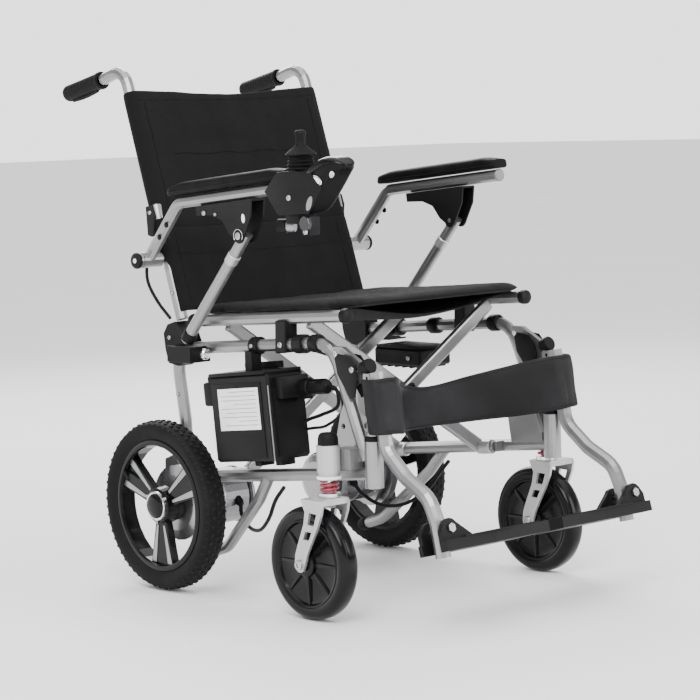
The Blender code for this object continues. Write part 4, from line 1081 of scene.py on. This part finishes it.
for side, s in SIDES:
    for name, part, look, steps, slot, place, axis, profile in FITTINGS:
        x, y, z = mm(*place, each=3)[0]
        turned(f"{side}_{name}", mm(*profile), at(s * x, y, z), (s * axis[0], *axis[1:]), f"{side}_{part}",
               look, steps)
    for name, part, *spot in BOLTS:
        x, y, z, radius = mm(*spot, each=4)[0]
        bolt(f"{side}_{name}", at(s * x, y, z), radius, f"{side}_{part}")
    body = side + "_frame"
    for tag, x0 in (("inner", s * (FRAME_X - 0.0125)), ("outer", s * (FRAME_X + 0.0125))):
        slab(f"{side}_front_bracket_{tag}", LATCH, x0 - 0.0012, x0 + 0.0012, BLACK, body, 0.0006)
    for tag, y, half in (("rear_collar", -0.208, 0.011), ("front_collar", -0.362, 0.01)):
        turned(f"{side}_{tag}", [(0.0113, -half), (0.014, -half), (0.0152, -half * 0.8), (0.0152, half * 0.8),
                                 (0.014, half), (0.0113, half)], at(s * FRAME_X, y, mid_z(y)), (0, -1, 0.0735),
               body, steps=32)
    for k, (y, z) in enumerate(mm(-34, 120, 34, 120, 40, 186, -46, 178)):
        bolt(f"{side}_axle_plate_bolt_{k}", at(s * (FRAME_X - 0.0042), y, z), 0.0045, body, axis=(-s, 0, 0))
    bolt(side + "_elbow_screw", at(s * 0.2829, *ELBOW), 0.0042, body, WHITE, 0.0018)
    # motor clamp bands and release lever
    for k, (x, r0) in enumerate(((0.1, 0.047), (0.108, 0.0508), (0.168, 0.0508), (0.214, 0.0508))):
        turned(f"{side}_motor_band_{k}", [(r0 - 0.006, -0.003), (r0, -0.003), (r0 + 0.0006, 0.0), (r0, 0.003),
                                          (r0 - 0.006, 0.003)], at(s * x, 0, WHEEL_R), (s, 0, 0), body,
               DARK_METAL if k == 1 else MOTOR, 48)
    rounded_block(side + "_motor_release", at(s * 0.196, 0.036, 0.196), (0.012, 0.046, 0.008), BLACK, body,
                  0.75, 0.002)

# seat tubes: black end plugs ride with the brace that carries each tube
for body, s in (("second_brace", -1), ("front_brace", 1)):
    for tag, y, way in (("front", -0.436, (0, -0.4, 0.025)), ("rear", -0.036, (0, 0.4, -0.025))):
        turned(f"{body}_{tag}_plug", mm(11.1, -6, 12.4, -5.5, 12.8, 2, 11.8, 5.8, 7, 7.8, 0, 8.2),
               at(s * SEAT_X, y, seat_z(y)), way, body, steps=32)
bolt("cross_bolt_front_0", at(0, -0.3645, 0.36), 0.008, "front_brace", BLACK, 0.004, axis=(0, -1, 0))
bolt("cross_bolt_front_1", at(0, -0.3255, 0.36), 0.008, "second_brace", BLACK, 0.004, axis=(0, 1, 0))
for s, body in ((-1, "front_brace"), (1, "second_brace")):
    for tag, y in (("front", -0.352), ("rear", -0.13)):
        turned(f"{body}_{tag}_clevis", mm(9.8, -16, 12.8, -15, 13.2, 0, 12.8, 15, 9.8, 16),
               at(s * 0.193, y, low_z(y)), (0, -1, SLOPE), body, CAST)
rounded_block("controller_lid", at(0.125, -0.238, 0.4155), (0.074, 0.112, 0.006), BLACK, "front_brace", 0,
              0.0015)
for k in range(6):
    rounded_block(f"controller_fin_{k}", at(0.125, -0.286 + 0.019 * k, 0.3815), (0.07, 0.004, 0.006), BLACK,
                  "front_brace", 0, 0.0008)
bolt("controller_bolt", at(0.084, -0.27, 0.398), 0.0045, "front_brace", axis=(-1, 0, 0))


# ---- armrest fittings ----
for side, s in SIDES:
    arm = side + "_armrest"
    turned(side + "_arm_tube_cap", mm(9, -3, 11.2, -2, 11.4, 1, 9.5, 3, 0, 3.4),
           at(s * ARM_X, -0.3452, arm_z(-0.3452)), (0, -1, 0.095), arm, BLACK if side == "right" else GREY)
    for k, (y, z) in enumerate(((-0.027, 0.656), (-0.006, 0.634))):
        turned(f"{side}_arm_plug_{k}", mm(5, 0, 5.2, 1.6, 3.6, 2.6, 0, 2.8),
               at(s * (ARM_X + 0.0104), y, z - 0.004), (s, 0, 0), arm, steps=20)
    x_out = ARM_X + 0.0156
    slab(side + "_bracket_slot", oval(-0.244, 0.666, 0.0042, 0.0078, -0.1), s * x_out, s * (x_out + 0.0006),
         WHITE, arm, 0.0002)
    way = Vector((0, STRUT_TOP[0] - STRUT_FOOT[0], STRUT_TOP[1] - STRUT_FOOT[1]))
    foot = at(s * ARM_X, *STRUT_FOOT)
    turned(side + "_strut_fork", mm(10.6, 190, 11.8, 191.5, 11.8, 208, 10.6, 209.5), foot, way, side + "_prop",
           CAST)
    turned(side + "_strut_foot", mm(10.6, 3, 12.4, 3, 12.6, 18, 11.4, 21, 10.6, 21.2), foot, way,
           side + "_prop")
    wire(side + "_bracket_spring", [at(s * (ARM_X + 0.0168), STRUT_TOP[0] + 0.0115 * math.cos(a),
                                       STRUT_TOP[1] + 0.0115 * math.sin(a))
                                    for a in (math.radians(-40 + 12 * k) for k in range(22))], 0.0009, BOLT,
         arm, 6)
    # folding back: sleeve over the joint and the screw of its lever
    turned(side + "_back_sleeve", mm(11.2, 0, 13.6, 1, 14, 26, 13, 30, 11.2, 30.5),
           at(s * SEAT_X, cane_y(0.656), 0.656), CANE, side + "_back", SILVER, 32)
    bolt(side + "_lever_screw", at(s * (SEAT_X + LEVER_OUT), cane_y(0.671), 0.671), 0.004, side + "_lever")


# ---- seams and treads ----
folded = [(seat, FOLD_KEEP), (underside, FOLD_KEEP), (lower, FOLD_KEEP), (upper, FOLD_KEEP), (strap, BAND_KEEP)]


def seam(name, points, radius, body, look=BINDING, keep=FOLD_KEEP):
    """A stitched line, put in the folded list with the width given for its cloth."""
    folded.append((wire(name, points, radius, look, body, 6), keep))


def on_back(x, z, proud=0.0018):
    t = (x + SEAT_X) / (2 * SEAT_X)
    return back_point(z, BACK_WRAP + (1 - 2 * BACK_WRAP) * t) - CANE_BACK * proud


seam("back_pocket_seam", [on_back(-0.15 + 0.3 * k / 40, 0.772 + 0.0015 * math.sin(k * 0.5)) for k in range(41)],
     0.0013, "right_back")
seam("back_top_hem", [on_back(-0.21 + 0.42 * k / 50, 0.87, 0.0016) for k in range(51)], 0.0008, "right_back")
seam("back_low_seam", [on_back(-0.205 + 0.41 * k / 50, 0.592, 0.0016) for k in range(51)], 0.0009,
     "right_frame")
for side, s in SIDES:
    seam(f"{side}_back_sleeve_seam", [on_back(s * 0.196, 0.66 + 0.205 * k / 30, 0.0016) for k in range(31)],
         0.0011, "right_back")
    seam(f"{side}_low_sleeve_seam", [on_back(s * 0.196, 0.505 + 0.125 * k / 24, 0.0016) for k in range(25)],
         0.001, "right_frame")
for band_edge, share in (("top", 0.955), ("low", 0.045)):
    seam(f"calf_band_{band_edge}_stitch", [strap_point(k / STRAP_STEPS, share) - Vector((0, 0.0034, 0))
                                           for k in range(6, STRAP_STEPS - 5)], 0.0009, "right_leg", LEATHER,
         BAND_KEEP)
for soft, keep in folded:
    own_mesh(soft)

for side, s in SIDES:
    turn = Matrix.Rotation(-PLATE_TILT, 3, "X")
    base = at(s * HANGER_X, *PLATE_PIN)
    for k in range(7):
        y = -0.026 + 0.0105 * k
        half = 0.0855 if k else 0.08
        bm = bmesh.new()
        bmesh.ops.create_cube(bm, size=1)
        bmesh.ops.scale(bm, vec=(2 * half, 0.0034, 0.0026), verts=bm.verts)
        bmesh.ops.bevel(bm, geom=list(bm.edges), offset=0.0007, segments=1, affect="EDGES")
        middle = base + turn @ Vector((-s * (0.02 + half), -y, -0.0172))
        bmesh.ops.transform(bm, matrix=Matrix.Translation(middle) @ turn.to_4x4(), verts=bm.verts)
        piece(f"{side}_plate_rib_{k}", bm, RUBBER, side + "_plate", 35)
    bolt(side + "_plate_screw", base + turn @ Vector((-s * 0.036, 0.0, -0.0175)), 0.005, side + "_plate",
         axis=turn @ Vector(UP))
